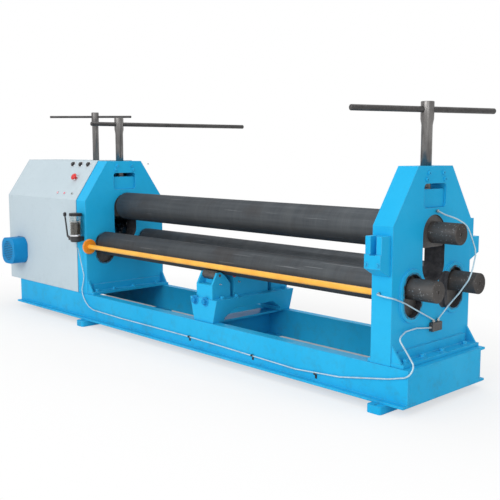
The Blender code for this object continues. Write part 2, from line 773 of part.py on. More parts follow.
def build_rolls(machine, metal):
    right_end = RIGHT_OUTER + SHAFT_OVERHANG
    profile = roll_profile(TOP_ROLL_RADIUS, TAIL_END, TAIL_RADIUS, right_end)
    turned("top_roll", profile, "X", metal, machine, (0, 0, TOP_AXIS))
    lower_end = GEAR_LEFT - LOWER_SHAFT_BEYOND_GEAR
    profile = roll_profile(LOWER_ROLL_RADIUS, lower_end, TAIL_RADIUS, right_end)
    for name, side in (("front_lower_roll", -1), ("rear_lower_roll", 1)):
        turned(name, profile, "X", metal, machine, (0, side * HALF_SPACING, LOWER_AXIS))


def screw_profile(length, radius, head_radius, head_height):
    """Tip, stem, cone and head of a screw, in heights above its tip."""
    neck = length - head_height
    edge = SCREW_TIP_DEPTH + TOUCH
    return [
        (0.0, SCREW_TIP_RADIUS),
        (edge, SCREW_TIP_RADIUS),
        (edge, radius - ROLL_EDGE / 2),
        (edge + ROLL_EDGE / 2, radius),
        (neck - SCREW_CONE, radius),
        (neck, head_radius),
        (length - ROLL_EDGE, head_radius),
        (length, head_radius - ROLL_EDGE),
    ]


def build_screw(name, bar_name, at, screw, bar, machine, metal):
    """A screw whose origin is its tip, and the bar through its head.

    The screw is (length, radius, head radius, head height); the bar is (radius,
    distance below the top, reach to the front, reach to the rear, turn from the
    rear towards the free end of the rolls, degrees).
    """
    length, _, head_radius, _ = screw
    radius, below, front, rear, turn = bar
    made = turned(name, screw_profile(*screw), "Z", metal, machine, at, MEDIUM)
    middle = (at[0], at[1], at[2] + length - below)
    heading = (0.0, 0.0, -math.radians(turn))
    reach = 2 * head_radius
    hole = cylinder(
        f"{name}_hole", "Y", -reach, reach, radius + TOUCH, None, machine, middle, SMALL
    )
    hole.rotation_euler = heading
    cut(made, hole)
    edge = radius / 4
    profile = [
        (-front, radius - edge),
        (edge - front, radius),
        (rear - edge, radius),
        (rear, radius - edge),
    ]
    turned(bar_name, profile, "Y", metal, machine, middle, SMALL).rotation_euler = heading


def build_screws(machine, metal):
    tip = BLOCK_TOP - SCREW_TIP_DEPTH
    screw = (SCREW_TOP - tip, SCREW_RADIUS, SCREW_HEAD_RADIUS, SCREW_HEAD_HEIGHT)
    bar = (BAR_RADIUS, RIGHT_BAR_BELOW_TOP, RIGHT_BAR_FRONT, RIGHT_BAR_REAR, RIGHT_BAR_TURN)
    at = (RIGHT_MIDDLE, 0, tip)
    build_screw("right_screw", "right_tommy_bar", at, screw, bar, machine, metal)
    bar = (BAR_RADIUS, LEFT_BAR_BELOW_TOP, LEFT_BAR_FRONT, LEFT_BAR_REAR, LEFT_BAR_TURN)
    at = (LEFT_MIDDLE, 0, tip)
    build_screw("left_screw", "left_tommy_bar", at, screw, bar, machine, metal)
    tip = TOP_AXIS + TAIL_RADIUS + SHOE_HEIGHT - SCREW_TIP_DEPTH
    length = BALANCE_TOP - tip
    screw = (length, BALANCE_RADIUS, BALANCE_HEAD_RADIUS, BALANCE_HEAD_HEIGHT)
    bar = (
        BALANCE_BAR_RADIUS, BALANCE_BAR_BELOW_TOP, BALANCE_BAR_FRONT, BALANCE_BAR_REAR,
        BALANCE_BAR_TURN,
    )
    at = (BALANCE_X, 0, tip)
    build_screw("balance_screw", "balance_tommy_bar", at, screw, bar, machine, metal)


def build_balance(machine, paint, metal):
    """The bridge with the balance screw's thread, and the shoe on the roll's tail."""
    top = FRAME_TOP - BRIDGE_BELOW_TOP
    bottom = top - BRIDGE_HEIGHT
    left = BALANCE_X - BRIDGE_BEYOND_SCREW
    right = LEFT_OUTER - TOUCH
    outline = [
        (left, bottom),
        (right - BRIDGE_BRACE, bottom),
        (right, bottom - BRIDGE_BRACE_DROP),
        (right, top),
        (left, top),
    ]
    half = BRIDGE_WIDTH / 2
    bridge = prism("balance_bridge", outline, "Y", -half, half, paint, machine)
    radius = BALANCE_RADIUS + RUNNING
    bore = (bottom - BRIDGE_HEIGHT, top + BRIDGE_HEIGHT)
    at = (BALANCE_X, 0, 0)
    cut(bridge, cylinder("bridge_bore", "Z", *bore, radius, None, machine, at, FINE))
    at = (BALANCE_X, 0, TOP_AXIS + TAIL_RADIUS + TOUCH)
    shoe = cylinder("balance_shoe", "Z", 0.0, SHOE_HEIGHT - TOUCH, SHOE_RADIUS, metal, machine, at)
    pocket = (SHOE_HEIGHT - SCREW_TIP_DEPTH - 2 * TOUCH, 2 * SHOE_HEIGHT)
    radius = SCREW_TIP_RADIUS + TOUCH
    cut(shoe, cylinder("shoe_pocket", "Z", *pocket, radius, None, machine, at))


def bored_gear(name, teeth, phase, bore, finish, machine, at):
    outline = gear_outline(teeth, phase)
    gear = prism(name, outline, "X", GEAR_LEFT, GEAR_RIGHT, finish, machine, at)
    past = (GEAR_LEFT - GEAR_FACE, GEAR_RIGHT + GEAR_FACE)
    cut(gear, cylinder(f"{name}_bore", "X", *past, bore, None, machine, at, FINE))


def build_gears(machine, metal):
    """Two roll gears with one pinion between and below them, in mesh at rest."""
    pinion_phase = math.pi / 2
    for name, side in (("front_roll_gear", -1), ("rear_roll_gear", 1)):
        to_pinion = math.atan2(-PINION_DROP, -side * HALF_SPACING)
        phase = mesh_phase(to_pinion, ROLL_GEAR_TEETH, PINION_TEETH, pinion_phase)
        at = (0, side * HALF_SPACING, LOWER_AXIS)
        bored_gear(name, ROLL_GEAR_TEETH, phase, TAIL_RADIUS + TOUCH, metal, machine, at)
    at = (0, 0, PINION_AXIS)
    outline = gear_outline(PINION_TEETH, pinion_phase)
    pinion = prism("drive_pinion", outline, "X", GEAR_LEFT, GEAR_RIGHT, metal, machine, at)
    ends = (GEARBOX_RIGHT - PINION_SHAFT_IN_BOX, GEAR_RIGHT + GEAR_FROM_FRAME / 3)
    join(pinion, cylinder("pinion_shaft", "X", *ends, PINION_SHAFT_RADIUS, None, machine, at))


def build_drive_bed(machine, paint):
    inside = COVER_SHEET + TOUCH
    low = (COVER_LEFT + inside, COVER_FACE + inside, BED_FLOOR)
    right = LEFT_OUTER - FOOT_PLATE_HEEL - DRIVE_BED_GAP
    high = (right, -COVER_FACE - inside, BED_TOP)
    box("drive_bed", low, high, paint, machine)


def build_gearbox(machine, paint, metal):
    """A worm gearbox: its output shaft carries the pinion, its input shaft a pulley."""
    half = GEARBOX_WIDTH / 2
    left = GEARBOX_RIGHT - GEARBOX_LENGTH
    centre = (0.0, DRIVE_FLOOR + GEARBOX_HEIGHT / 2)
    outline = rounded(GEARBOX_WIDTH, GEARBOX_HEIGHT, GEARBOX_CORNER, centre)
    body = prism("gearbox", outline, "X", left, GEARBOX_RIGHT, paint, machine)
    inset = GEARBOX_CORNER
    low = (left + inset, -GEARBOX_FOOT_WIDTH / 2, DRIVE_FLOOR)
    high = (GEARBOX_RIGHT - inset, GEARBOX_FOOT_WIDTH / 2, DRIVE_FLOOR + GEARBOX_FOOT_THICK)
    join(body, box("gearbox_foot", low, high, None, machine))
    bore = (GEARBOX_RIGHT - PINION_SHAFT_IN_BOX - TOUCH, GEARBOX_RIGHT + GEARBOX_GAP)
    radius = PINION_SHAFT_RADIUS + RUNNING
    at = (0, 0, PINION_AXIS)
    cut(body, cylinder("output_bore", "X", *bore, radius, None, machine, at))
    at = (GEARBOX_MIDDLE, 0, WORM_AXIS)
    bore = (half - WORM_SHAFT_IN_BOX - TOUCH, half + WORM_SHAFT_IN_BOX)
    radius = WORM_SHAFT_RADIUS + RUNNING
    cut(body, cylinder("input_bore", "Y", *bore, radius, None, machine, at))
    shaft = (half - WORM_SHAFT_IN_BOX, WORM_SHAFT_RADIUS)
    build_pulley("gearbox_pulley", shaft, GEARBOX_PULLEY_RADIUS, machine, metal, at)


def build_pulley(name, shaft, radius, machine, metal, at):
    """A pulley in one piece with the shaft that it turns, a wide groove in its rim."""
    shaft_end, shaft_radius = shaft
    low = PULLEY_Y - PULLEY_WIDTH / 2
    high = PULLEY_Y + PULLEY_WIDTH / 2
    rim = radius + PULLEY_RIM
    edge = (PULLEY_WIDTH - BELT_WIDTH) / 2 - RUNNING
    profile = [
        (shaft_end, shaft_radius),
        (low, shaft_radius),
        (low, rim),
        (low + edge, rim),
        (low + edge, radius),
        (high - edge, radius),
        (high - edge, rim),
        (high, rim),
    ]
    turned(name, profile, "Y", metal, machine, at, MEDIUM)


def build_motor(machine, paint, metal):
    rear = MOTOR_FRONT + MOTOR_LENGTH
    at = (MOTOR_X, 0, MOTOR_AXIS)
    shield = MOTOR_RADIUS / 8
    spigot = COWL_SIZE / 2 - COWL_WALL - TOUCH
    profile = [
        (MOTOR_FRONT, spigot),
        (MOTOR_FRONT + COWL_SEAT, spigot),
        (MOTOR_FRONT + COWL_SEAT, MOTOR_RADIUS),
        (rear - 3 * shield, MOTOR_RADIUS),
        (rear - shield, MOTOR_RADIUS - 2 * shield),
        (rear, MOTOR_RADIUS / 2),
    ]
    body = turned("motor", profile, "Y", paint, machine, at)
    low = (-MOTOR_RADIUS, MOTOR_FRONT + MOTOR_RADIUS, DRIVE_FLOOR - MOTOR_AXIS)
    high = (MOTOR_RADIUS, rear - MOTOR_RADIUS, -MOTOR_SEAT)
    join(body, box("motor_foot", low, high, None, machine, at))
    half = MOTOR_RADIUS / 2
    low = (-half, MOTOR_FRONT + MOTOR_RADIUS, MOTOR_SEAT)
    high = (half, MOTOR_FRONT + 2 * MOTOR_RADIUS, MOTOR_RADIUS + half)
    join(body, box("terminal_box", low, high, None, machine, at))
    bore = (rear - MOTOR_SHAFT_IN_BODY - TOUCH, rear + MOTOR_SHAFT_IN_BODY)
    radius = MOTOR_SHAFT_RADIUS + RUNNING
    cut(body, cylinder("motor_bore", "Y", *bore, radius, None, machine, at))
    shaft = (rear - MOTOR_SHAFT_IN_BODY, MOTOR_SHAFT_RADIUS)
    build_pulley("motor_pulley", shaft, MOTOR_PULLEY_RADIUS, machine, metal, at)


def build_cowl(machine, paint):
    """The fan cowl that stands out of the cover, open to the motor, slotted in front."""
    front = COVER_FACE - COWL_PROUD
    back = MOTOR_FRONT + COWL_SEAT
    at = (MOTOR_X, 0, MOTOR_AXIS)
    outer = rounded(COWL_SIZE, COWL_SIZE, COWL_CORNER, steps=8)
    size = COWL_SIZE - 2 * COWL_WALL
    inner = rounded(size, size, COWL_CORNER - COWL_WALL, steps=8)
    cowl = prism("motor_cowl", outer, "Y", front, back, paint, machine, at)
    hollow = (front + COWL_WALL, back + COWL_WALL)
    cut(cowl, prism("cowl_hollow", inner, "Y", *hollow, None, machine, at))
    reach = COWL_SIZE / 2 - COWL_RIM
    pitch = 2 * reach / COWL_SLOT_ROWS
    for i in range(COWL_SLOT_ROWS):
        z = (i - (COWL_SLOT_ROWS - 1) / 2) * pitch
        half = math.sqrt(reach**2 - z**2)
        low = (-half, front - COWL_WALL, z - COWL_SLOT_HALF)
        high = (half, front + 2 * COWL_WALL, z + COWL_SLOT_HALF)
        cut(cowl, box(f"cowl_slot_{i}", low, high, None, machine, at))


def belt_side(far, near, offset, steps=24):
    """The outline of a loop round two circles in X and Z, each (x, z, radius)."""
    (x1, z1, r1), (x2, z2, r2) = far, near
    heading = math.atan2(z2 - z1, x2 - x1)
    length = math.hypot(x2 - x1, z2 - z1)
    spread = math.acos((r1 - r2) / length)
    points = []
    for i in range(steps + 1):
        angle = heading + spread + (2 * math.pi - 2 * spread) * i / steps
        radius = r1 + offset
        points.append((x1 + radius * math.cos(angle), z1 + radius * math.sin(angle)))
    for i in range(steps + 1):
        angle = heading - spread + 2 * spread * i / steps
        radius = r2 + offset
        points.append((x2 + radius * math.cos(angle), z2 + radius * math.sin(angle)))
    return points


def build_belt(machine, rubber):
    far = (MOTOR_X, MOTOR_AXIS, MOTOR_PULLEY_RADIUS)
    near = (GEARBOX_MIDDLE, WORM_AXIS, GEARBOX_PULLEY_RADIUS)
    inner = belt_side(far, near, 2 * TOUCH)
    outer = belt_side(far, near, 2 * TOUCH + BELT_THICK)
    low = PULLEY_Y - BELT_WIDTH / 2
    high = PULLEY_Y + BELT_WIDTH / 2
    bm = bmesh.new()
    loops = []
    for outline, y in ((inner, low), (outer, low), (outer, high), (inner, high)):
        loops.append([bm.verts.new((x, y, z)) for x, z in outline])
    count = len(inner)
    for one, two in zip(loops, loops[1:] + loops[:1]):
        for i in range(count):
            j = (i + 1) % count
            bm.faces.new((one[i], one[j], two[j], two[i]))
    finish_mesh(bm, "drive_belt", (0, 0, 0), rubber, machine, smooth=True)


def cover_profile(inset=0.0):
    """The outline of the cover, which stands on the base round the drive bed."""
    return frame_profile(inset - COVER_PROUD, BED_FLOOR)


def panel_frame():
    """The control panel's upper edge, its direction up the slope and its outward normal."""
    profile = cover_profile()
    top, low = Vector(profile[4]), Vector(profile[5])
    up = (top - low).normalized()
    return top, up, Vector((-up.y, up.x))


def panel_matrix(down_slope, from_frame):
    """A place on the panel whose local Z is the outward normal."""
    top, up, normal = panel_frame()
    spot = top - up * down_slope
    place = Matrix.Translation((LEFT_OUTER - from_frame, spot.x, spot.y))
    z_axis = Vector((0.0, normal.x, normal.y))
    y_axis = Vector((0.0, up.x, up.y))
    x_axis = y_axis.cross(z_axis)
    turn = Matrix((x_axis, y_axis, z_axis)).transposed().to_4x4()
    return place @ turn


def sheet_outline(corners):
    """Walls of the cover in one bent sheet, along these corners of its outline."""
    outer = [Vector(cover_profile()[corner]) for corner in corners]
    inner = [Vector(cover_profile(COVER_SHEET)[corner]) for corner in corners]
    start = (outer[1] - outer[0]).normalized() * TOUCH
    end = (outer[-1] - outer[-2]).normalized() * TOUCH
    outer[0], inner[0] = outer[0] + start, inner[0] + start
    outer[-1], inner[-1] = outer[-1] - end, inner[-1] - end
    return [tuple(point) for point in outer + inner[::-1]]


def build_cover(machine, paint):
    """Three pieces of sheet: the front with its slope, the rear with the top, the end."""
    left = COVER_LEFT + COVER_SHEET + TOUCH
    right = LEFT_OUTER - TOUCH
    front = prism("gear_cover_front", sheet_outline((4, 5, 0)), "X", left, right, paint, machine)
    outline = sheet_outline((1, 2, 3, 4))
    rear = prism("gear_cover_rear", outline, "X", left, right, paint, machine)
    high = COVER_LEFT + COVER_SHEET
    prism("gear_cover_end", cover_profile(), "X", COVER_LEFT, high, paint, machine)
    radius = BALANCE_RADIUS + ROLL_EDGE
    depth = (FRAME_TOP - BRIDGE_HEIGHT / 2, FRAME_TOP + BRIDGE_HEIGHT / 2)
    hole = cylinder("cover_screw_hole", "Z", *depth, radius, None, machine, (BALANCE_X, 0, 0))
    cut(rear, hole)
    size = COWL_SIZE + COWL_WALL
    outline = rounded(size, size, COWL_CORNER, steps=8)
    depth = (COVER_FACE - COWL_WALL, COVER_FACE + 2 * COWL_WALL)
    at = (MOTOR_X, 0, MOTOR_AXIS)
    cut(front, prism("cover_cowl_hole", outline, "Y", *depth, None, machine, at))
    return front


def cut_control_hole(panel, name, place, radius, machine):
    ends = (-CONTROL_HOLE_DEPTH, CONTROL_HOLE_DEPTH)
    hole = cylinder(f"{name}_hole", "Z", *ends, radius, None, machine, (0, 0, 0), CONTROL)
    hole.matrix_local = place
    cut(panel, hole)


def build_controls(panel, machine, plastic, red):
    """Push buttons and the emergency stop: their origins lie on the panel's face."""
    for i, side in enumerate(("right", "middle", "left")):
        from_frame = BUTTON_FROM_FRAME + i * BUTTON_PITCH
        place = panel_matrix(BUTTON_DOWN, from_frame)
        profile = [
            (-BUTTON_STEM, BUTTON_STEM_RADIUS),
            (BUTTON_TRAVEL + RUNNING, BUTTON_STEM_RADIUS),
            (BUTTON_TRAVEL + RUNNING, BUTTON_COLLAR_RADIUS),
            (BUTTON_TRAVEL + BUTTON_COLLAR, BUTTON_COLLAR_RADIUS),
            (BUTTON_TRAVEL + BUTTON_COLLAR, BUTTON_RADIUS),
            (BUTTON_PROUD - BUTTON_RADIUS / 8, BUTTON_RADIUS),
            (BUTTON_PROUD, BUTTON_RADIUS * 7 / 8),
        ]
        name = f"push_button_{side}"
        button = turned(name, profile, "Z", plastic, machine, (0, 0, 0), CONTROL)
        button.matrix_local = place
        cut_control_hole(panel, name, place, BUTTON_STEM_RADIUS + TOUCH, machine)
    place = panel_matrix(STOP_DOWN, STOP_FROM_FRAME)
    profile = [
        (-BUTTON_STEM, STOP_STEM_RADIUS),
        (STOP_PROUD - STOP_CAP, STOP_STEM_RADIUS),
        (STOP_PROUD - STOP_CAP, STOP_RADIUS),
        (STOP_PROUD - STOP_CAP * 2 / 3, STOP_RADIUS),
        (STOP_PROUD - STOP_CAP / 4, STOP_RADIUS * 0.85),
        (STOP_PROUD, STOP_RADIUS / 2),
    ]
    stop = turned("emergency_stop", profile, "Z", red, machine, (0, 0, 0), CONTROL)
    stop.matrix_local = place
    cut_control_hole(panel, "emergency_stop", place, STOP_STEM_RADIUS + TOUCH, machine)


def build_guard_rod(machine, yellow):
    """A rod between the frames, with a round flange against each frame."""
    left = LEFT_INNER + TOUCH
    right = RIGHT_INNER - TOUCH
    profile = [
        (left, ROD_FLANGE_RADIUS - ROLL_EDGE),
        (left + ROLL_EDGE, ROD_FLANGE_RADIUS),
        (left + ROD_FLANGE_THICK - ROLL_EDGE, ROD_FLANGE_RADIUS),
        (left + ROD_FLANGE_THICK, ROD_FLANGE_RADIUS - ROLL_EDGE),
        (left + ROD_FLANGE_THICK, ROD_RADIUS),
        (right, ROD_RADIUS),
    ]
    turned("safety_rod", profile, "X", yellow, machine, (0, ROD_Y, BASE_TOP + ROD_HEIGHT), MEDIUM)


def build_support(machine, paint, metal):
    """The stand in the middle of the base, with two rollers under each lower roll."""
    foot = FRAME_FLOOR
    beam_top = foot + SUPPORT_BEAM_HEIGHT
    top_half = SUPPORT_TOP_WIDTH / 2
    foot_half = SUPPORT_FOOT_WIDTH / 2
    at = (SUPPORT_X, 0, 0)
    outline = [(-foot_half, foot), (foot_half, foot), (top_half, beam_top), (-top_half, beam_top)]
    ends = (-SUPPORT_END, SUPPORT_END)
    stand = prism("center_support", outline, "Y", *ends, paint, machine, at)
    below = foot - SUPPORT_ARCH_HEIGHT
    crown = foot + SUPPORT_ARCH_HEIGHT
    opening = [
        (-SUPPORT_ARCH_HALF, below),
        (SUPPORT_ARCH_HALF, below),
        (SUPPORT_ARCH_HALF, foot + SUPPORT_ARCH_HEIGHT / 3),
        (SUPPORT_ARCH_TOP_HALF, crown),
        (-SUPPORT_ARCH_TOP_HALF, crown),
        (-SUPPORT_ARCH_HALF, foot + SUPPORT_ARCH_HEIGHT / 3),
    ]
    past = (-SUPPORT_TOP_WIDTH, SUPPORT_TOP_WIDTH)
    cut(stand, prism("support_arch", opening, "X", *past, None, machine, at))
    sunk = beam_top - RIM_PROUD / 4
    shoulder = BASE_TOP + LOBE_FRONT_HEIGHT
    crest = BASE_TOP + LOBE_TOP_HEIGHT
    side = (-LOBE_WIDTH / 2, LOBE_WIDTH / 2)
    inner = LOBE_GAP_INNER
    middle = [(-inner, sunk), (inner, sunk), (inner, crest), (-inner, crest)]
    join(stand, prism("middle_lobe", middle, "X", *side, None, machine, at))
    for end, name in ((-1, "front"), (1, "rear")):
        lobe = [
            (end * LOBE_OUTER, sunk),
            (end * LOBE_OUTER, shoulder),
            (end * LOBE_SHOULDER, crest),
            (end * LOBE_CREST, crest),
            (end * LOBE_GAP_OUTER, shoulder),
            (end * LOBE_GAP_OUTER, sunk),
        ]
        join(stand, prism(f"{name}_lobe", lobe, "X", *side, None, machine, at))
        reach = sorted((end * (HALF_SPACING + SUPPORT_ROLLER_OFFSET), end * 2 * LOBE_OUTER))
        low = (CHEEK - LOBE_WIDTH / 2, reach[0], shoulder)
        high = (LOBE_WIDTH / 2 - CHEEK, reach[1], 2 * crest)
        cut(stand, box(f"{name}_roller_mouth", low, high, None, machine, at))
        axis = (SUPPORT_X, end * HALF_SPACING, LOWER_AXIS)
        radius = LOWER_ROLL_RADIUS + ROLL_CLEARANCE
        cut(stand, cylinder(f"{name}_roll_room", "X", *past, radius, None, machine, axis, FINE))
        reach = LOWER_ROLL_RADIUS + SUPPORT_ROLLER_RADIUS + TOUCH
        drop = math.sqrt(reach**2 - SUPPORT_ROLLER_OFFSET**2)
        for offset, place in ((1, "outer"), (-1, "inner")):
            y = end * (HALF_SPACING + offset * SUPPORT_ROLLER_OFFSET)
            centre = (SUPPORT_X, y, LOWER_AXIS - drop)
            build_support_roller(f"{name}_{place}_roller", centre, stand, machine, metal)


def build_support_roller(name, centre, stand, machine, metal):
    """A roller in one piece with its pins, in a pocket between two cheeks of the stand."""
    end = LOBE_WIDTH / 2
    pocket = end - CHEEK
    radius = SUPPORT_ROLLER_RADIUS + 4 * RUNNING
    room = cylinder(f"{name}_room", "X", -pocket, pocket, radius, None, machine, centre)
    cut(stand, room)
    past = (-LOBE_WIDTH, LOBE_WIDTH)
    radius = SUPPORT_PIN_RADIUS + RUNNING
    cut(stand, cylinder(f"{name}_bore", "X", *past, radius, None, machine, centre, SMALL))
    body = pocket - RUNNING
    profile = [
        (-end, SUPPORT_PIN_RADIUS),
        (-body, SUPPORT_PIN_RADIUS),
        (-body, SUPPORT_ROLLER_RADIUS),
        (body, SUPPORT_ROLLER_RADIUS),
        (body, SUPPORT_PIN_RADIUS),
        (end, SUPPORT_PIN_RADIUS),
    ]
    turned(name, profile, "X", metal, machine, centre, MEDIUM)


def build_brackets(machine, paint):
    """Slotted brackets on the front and rear edges of the right frame."""
    edge = FRAME_EDGE + TOUCH
    for name, side, sizes in (("front", -1, FRONT_BRACKET), ("rear", 1, REAR_BRACKET)):
        foot, low, step, top = [BASE_TOP + level for level in sizes[:4]]
        lower, upper = sizes[4:]
        outline = [
            (side * edge, foot),
            (side * (edge + lower), low),
            (side * (edge + lower), step),
            (side * (edge + upper), step),
            (side * (edge + upper), top),
            (side * edge, top),
        ]
        middle = RIGHT_MIDDLE
        ends = (middle - BRACKET_THICK / 2, middle + BRACKET_THICK / 2)
        bracket = prism(f"guide_bracket_{name}", outline, "X", *ends, paint, machine)
        start = edge + BRACKET_SLOT_FROM_EDGE
        reach = sorted((side * start, side * (start + lower)))
        slot_low = (middle - BRACKET_SLOT / 2, reach[0], step - ROLL_EDGE)
        slot_high = (middle + BRACKET_SLOT / 2, reach[1], top + BRACKET_SLOT_DEPTH)
        cut(bracket, box(f"{name}_bracket_slot", slot_low, slot_high, None, machine))


def build_pump(machine, dark, clear):
    """A hand pump with a clear reservoir on the front edge of the left frame."""
    y = -FRAME_EDGE - PUMP_STANDOFF - RESERVOIR_RADIUS
    z = BASE_TOP + PUMP_HEIGHT
    at = (PUMP_X, y, z)
    edge = PUMP_RADIUS / 8
    profile = [(0.0, PUMP_RADIUS - edge), (edge, PUMP_RADIUS), (PUMP_BASE_HEIGHT, PUMP_RADIUS)]
    base = turned("lube_pump_body", profile, "Z", dark, machine, at, MEDIUM)
    half = PUMP_RADIUS * 0.6
    low = (-half, 0.0, edge)
    high = (half, -FRAME_EDGE - TOUCH - y, PUMP_BASE_HEIGHT - edge)
    join(base, box("pump_plate", low, high, None, machine, at))
    fork = LEVER_THICK / 2 + RUNNING
    arm = LEVER_THICK * 1.5 + RUNNING
    tip = LEVER_EYE_RADIUS
    low = (-LEVER_PIVOT_OUT - tip, LEVER_Y - arm, LEVER_PIVOT_UP - tip)
    high = (-PUMP_RADIUS / 2, LEVER_Y + arm, LEVER_PIVOT_UP + tip)
    join(base, box("pump_arm", low, high, None, machine, at))
    low = (-LEVER_PIVOT_OUT - 2 * tip, LEVER_Y - fork, LEVER_PIVOT_UP - 2 * tip)
    high = (-LEVER_PIVOT_OUT + tip + RUNNING, LEVER_Y + fork, LEVER_PIVOT_UP + 2 * tip)
    cut(base, box("pump_fork", low, high, None, machine, at))
    pivot = (PUMP_X - LEVER_PIVOT_OUT, y + LEVER_Y, z + LEVER_PIVOT_UP)
    reach = 2 * arm
    radius = LEVER_PIN_RADIUS + RUNNING
    cut(base, cylinder("pump_pivot", "Y", -reach, reach, radius, None, machine, pivot, SMALL))
    base_top = PUMP_BASE_HEIGHT + TOUCH
    lid = base_top + RESERVOIR_HEIGHT
    inner = RESERVOIR_RADIUS - RESERVOIR_WALL
    profile = [
        (base_top, RESERVOIR_RADIUS),
        (lid, RESERVOIR_RADIUS),
        (lid, LID_RADIUS),
        (lid + LID_HEIGHT - edge, LID_RADIUS),
        (lid + LID_HEIGHT, LID_RADIUS - edge),
    ]
    cup = turned("lube_reservoir", profile, "Z", clear, machine, at, MEDIUM)
    hollow = (0.0, lid)
    cut(cup, cylinder("reservoir_hollow", "Z", *hollow, inner, None, machine, at))
    build_lever(pivot, machine, dark)


def build_lever(pivot, machine, dark):
    """The pump's bent hand lever, which turns about the Y axis through its origin."""
    half = LEVER_HALF_WIDTH
    eye = arc((0.0, 0.0), LEVER_EYE_RADIUS, -90, 60, 8)
    bend_x, bend_z = LEVER_BEND
    top_x, top_z = LEVER_TOP
    outline = eye + [
        (bend_x + half, bend_z + half),
        (top_x + half, top_z),
        (top_x - half, top_z),
        (bend_x - half, bend_z - half),
    ]
    ends = (-LEVER_THICK / 2, LEVER_THICK / 2)
    lever = prism("lube_lever", outline, "Y", *ends, dark, machine, pivot)
    reach = LEVER_THICK * 1.5 + RUNNING
    pin = cylinder("lever_pin", "Y", -reach, reach, LEVER_PIN_RADIUS, None, machine, pivot, SMALL)
    join(lever, pin)
    radius = LEVER_KNOB_RADIUS
    profile = [
        (-radius, radius / 2),
        (-radius / 2, radius),
        (radius, radius),
        (1.5 * radius, radius / 2),
    ]
    place = (pivot[0] + top_x, pivot[1], pivot[2] + top_z)
    join(lever, turned("lever_knob", profile, "Z", None, machine, place, SMALL))


def build_pipes(machine, metal):
    """The manifold on the right frame, the pipe from the pump and the two onward."""
    face = RIGHT_OUTER + TOUCH
    half = [size / 2 for size in MANIFOLD_SIZE]
    y, z = MANIFOLD_Y, MANIFOLD_Z
    low = (face, y - half[1], z - half[2])
    high = (face + MANIFOLD_SIZE[0], y + half[1], z + half[2])
    box("lube_manifold", low, high, metal, machine)
    middle = face + half[0]
    beam = FRONT_WEB_Y - 2 * PIPE_RADIUS
    pump_y = -FRAME_EDGE - PUMP_STANDOFF - RESERVOIR_RADIUS
    pump_z = BASE_TOP + PUMP_HEIGHT - TOUCH
    route = [
        (PUMP_X, pump_y, pump_z),
        (PUMP_X, pump_y, pump_z - 0.030),
        (-2.828, -0.372, 0.490),
        (-2.802, beam, 0.318),
        (-2.832, beam, 0.200),
        (-2.770, beam, 0.110),
        (-2.642, beam, 0.074),
        (-2.356, beam, 0.072),
        (-1.602, beam, 0.070),
        (-1.043, beam, 0.057),
        (-0.568, beam, 0.051),
        (-0.230, beam, 0.102),
        (-0.064, beam, 0.132),
        (0.006, beam, 0.160),
        (0.018, -0.332, 0.204),
        (-0.014, -0.325, 0.246),
        (-0.042, -0.334, 0.284),
        (-0.062, -0.330, 0.322),
        (-0.088, -0.256, 0.338),
        (-0.094, -0.176, 0.342),
        (middle, y - half[1] - PIPE_LEAD, z + 0.006),
        (middle, y - half[1] - 0.018, z),
        (middle, y - half[1] - TOUCH, z),
    ]
    pipe("lube_line_main", route, PIPE_RADIUS, metal, machine, MAIN_PIPE_SPACING)
    start = z + half[2] + TOUCH
    route = [
        (middle, y - half[1] / 2, start),
        (middle, y - half[1] / 2, start + 0.012),
        (-0.086, -0.193, 0.446),
        (-0.088, -0.270, 0.484),
        (RIGHT_OUTER + 0.014, -0.322, 0.504),
        (RIGHT_OUTER + 0.006, -0.354, 0.514),
        (RIGHT_OUTER - 0.020, -0.371, 0.520),
        (RIGHT_OUTER - 0.050, -0.373, 0.524),
        (RIGHT_MIDDLE - 0.006, -0.366, 0.525),
        (RIGHT_MIDDLE - 0.010, -0.356, 0.525),
        (RIGHT_MIDDLE - 0.010, -FRAME_EDGE - TOUCH, 0.525),
    ]
    pipe("lube_line_lower", route, PIPE_RADIUS, metal, machine, PIPE_SPACING)
    route = [
        (middle, y + half[1] / 2, start),
        (middle, y + half[1] / 2, start + 0.012),
        (-0.079, 0.052, 0.390),
        (-0.059, 0.068, 0.427),
        (-0.011, 0.098, 0.501),
        (0.026, 0.108, 0.560),
        (0.036, 0.128, 0.617),
        (0.027, 0.168, 0.679),
        (0.013, 0.178, 0.732),
        (-0.014, 0.178, 0.793),
        (-0.026, 0.158, 0.832),
        (-0.042, 0.108, 0.863),
        (-0.068, 0.048, 0.884),
        (RIGHT_OUTER + 0.018, 0.018, 0.902),
        (RIGHT_OUTER + 0.012, 0.012, 0.907),
        (RIGHT_OUTER + TOUCH, 0.012, 0.907),
    ]
    pipe("lube_line_upper", route, PIPE_RADIUS, metal, machine, PIPE_SPACING)


def centre_on_origin(machine):
    """Moves the whole machine so that its box is centred on the origin and stands on Z = 0."""
    bpy.context.view_layer.update()
    graph = bpy.context.evaluated_depsgraph_get()
    low = Vector((1e9, 1e9, 1e9))
    high = -low
    for obj in bpy.context.scene.objects:
        if obj.hide_render or obj.type == "EMPTY":
            continue
        shape = obj.evaluated_get(graph)
        mesh = shape.to_mesh()
        for vertex in mesh.vertices:
            point = shape.matrix_world @ vertex.co
            low = Vector(map(min, low, point))
            high = Vector(map(max, high, point))
        shape.to_mesh_clear()
    machine.location = (-(low.x + high.x) / 2, -(low.y + high.y) / 2, -low.z)


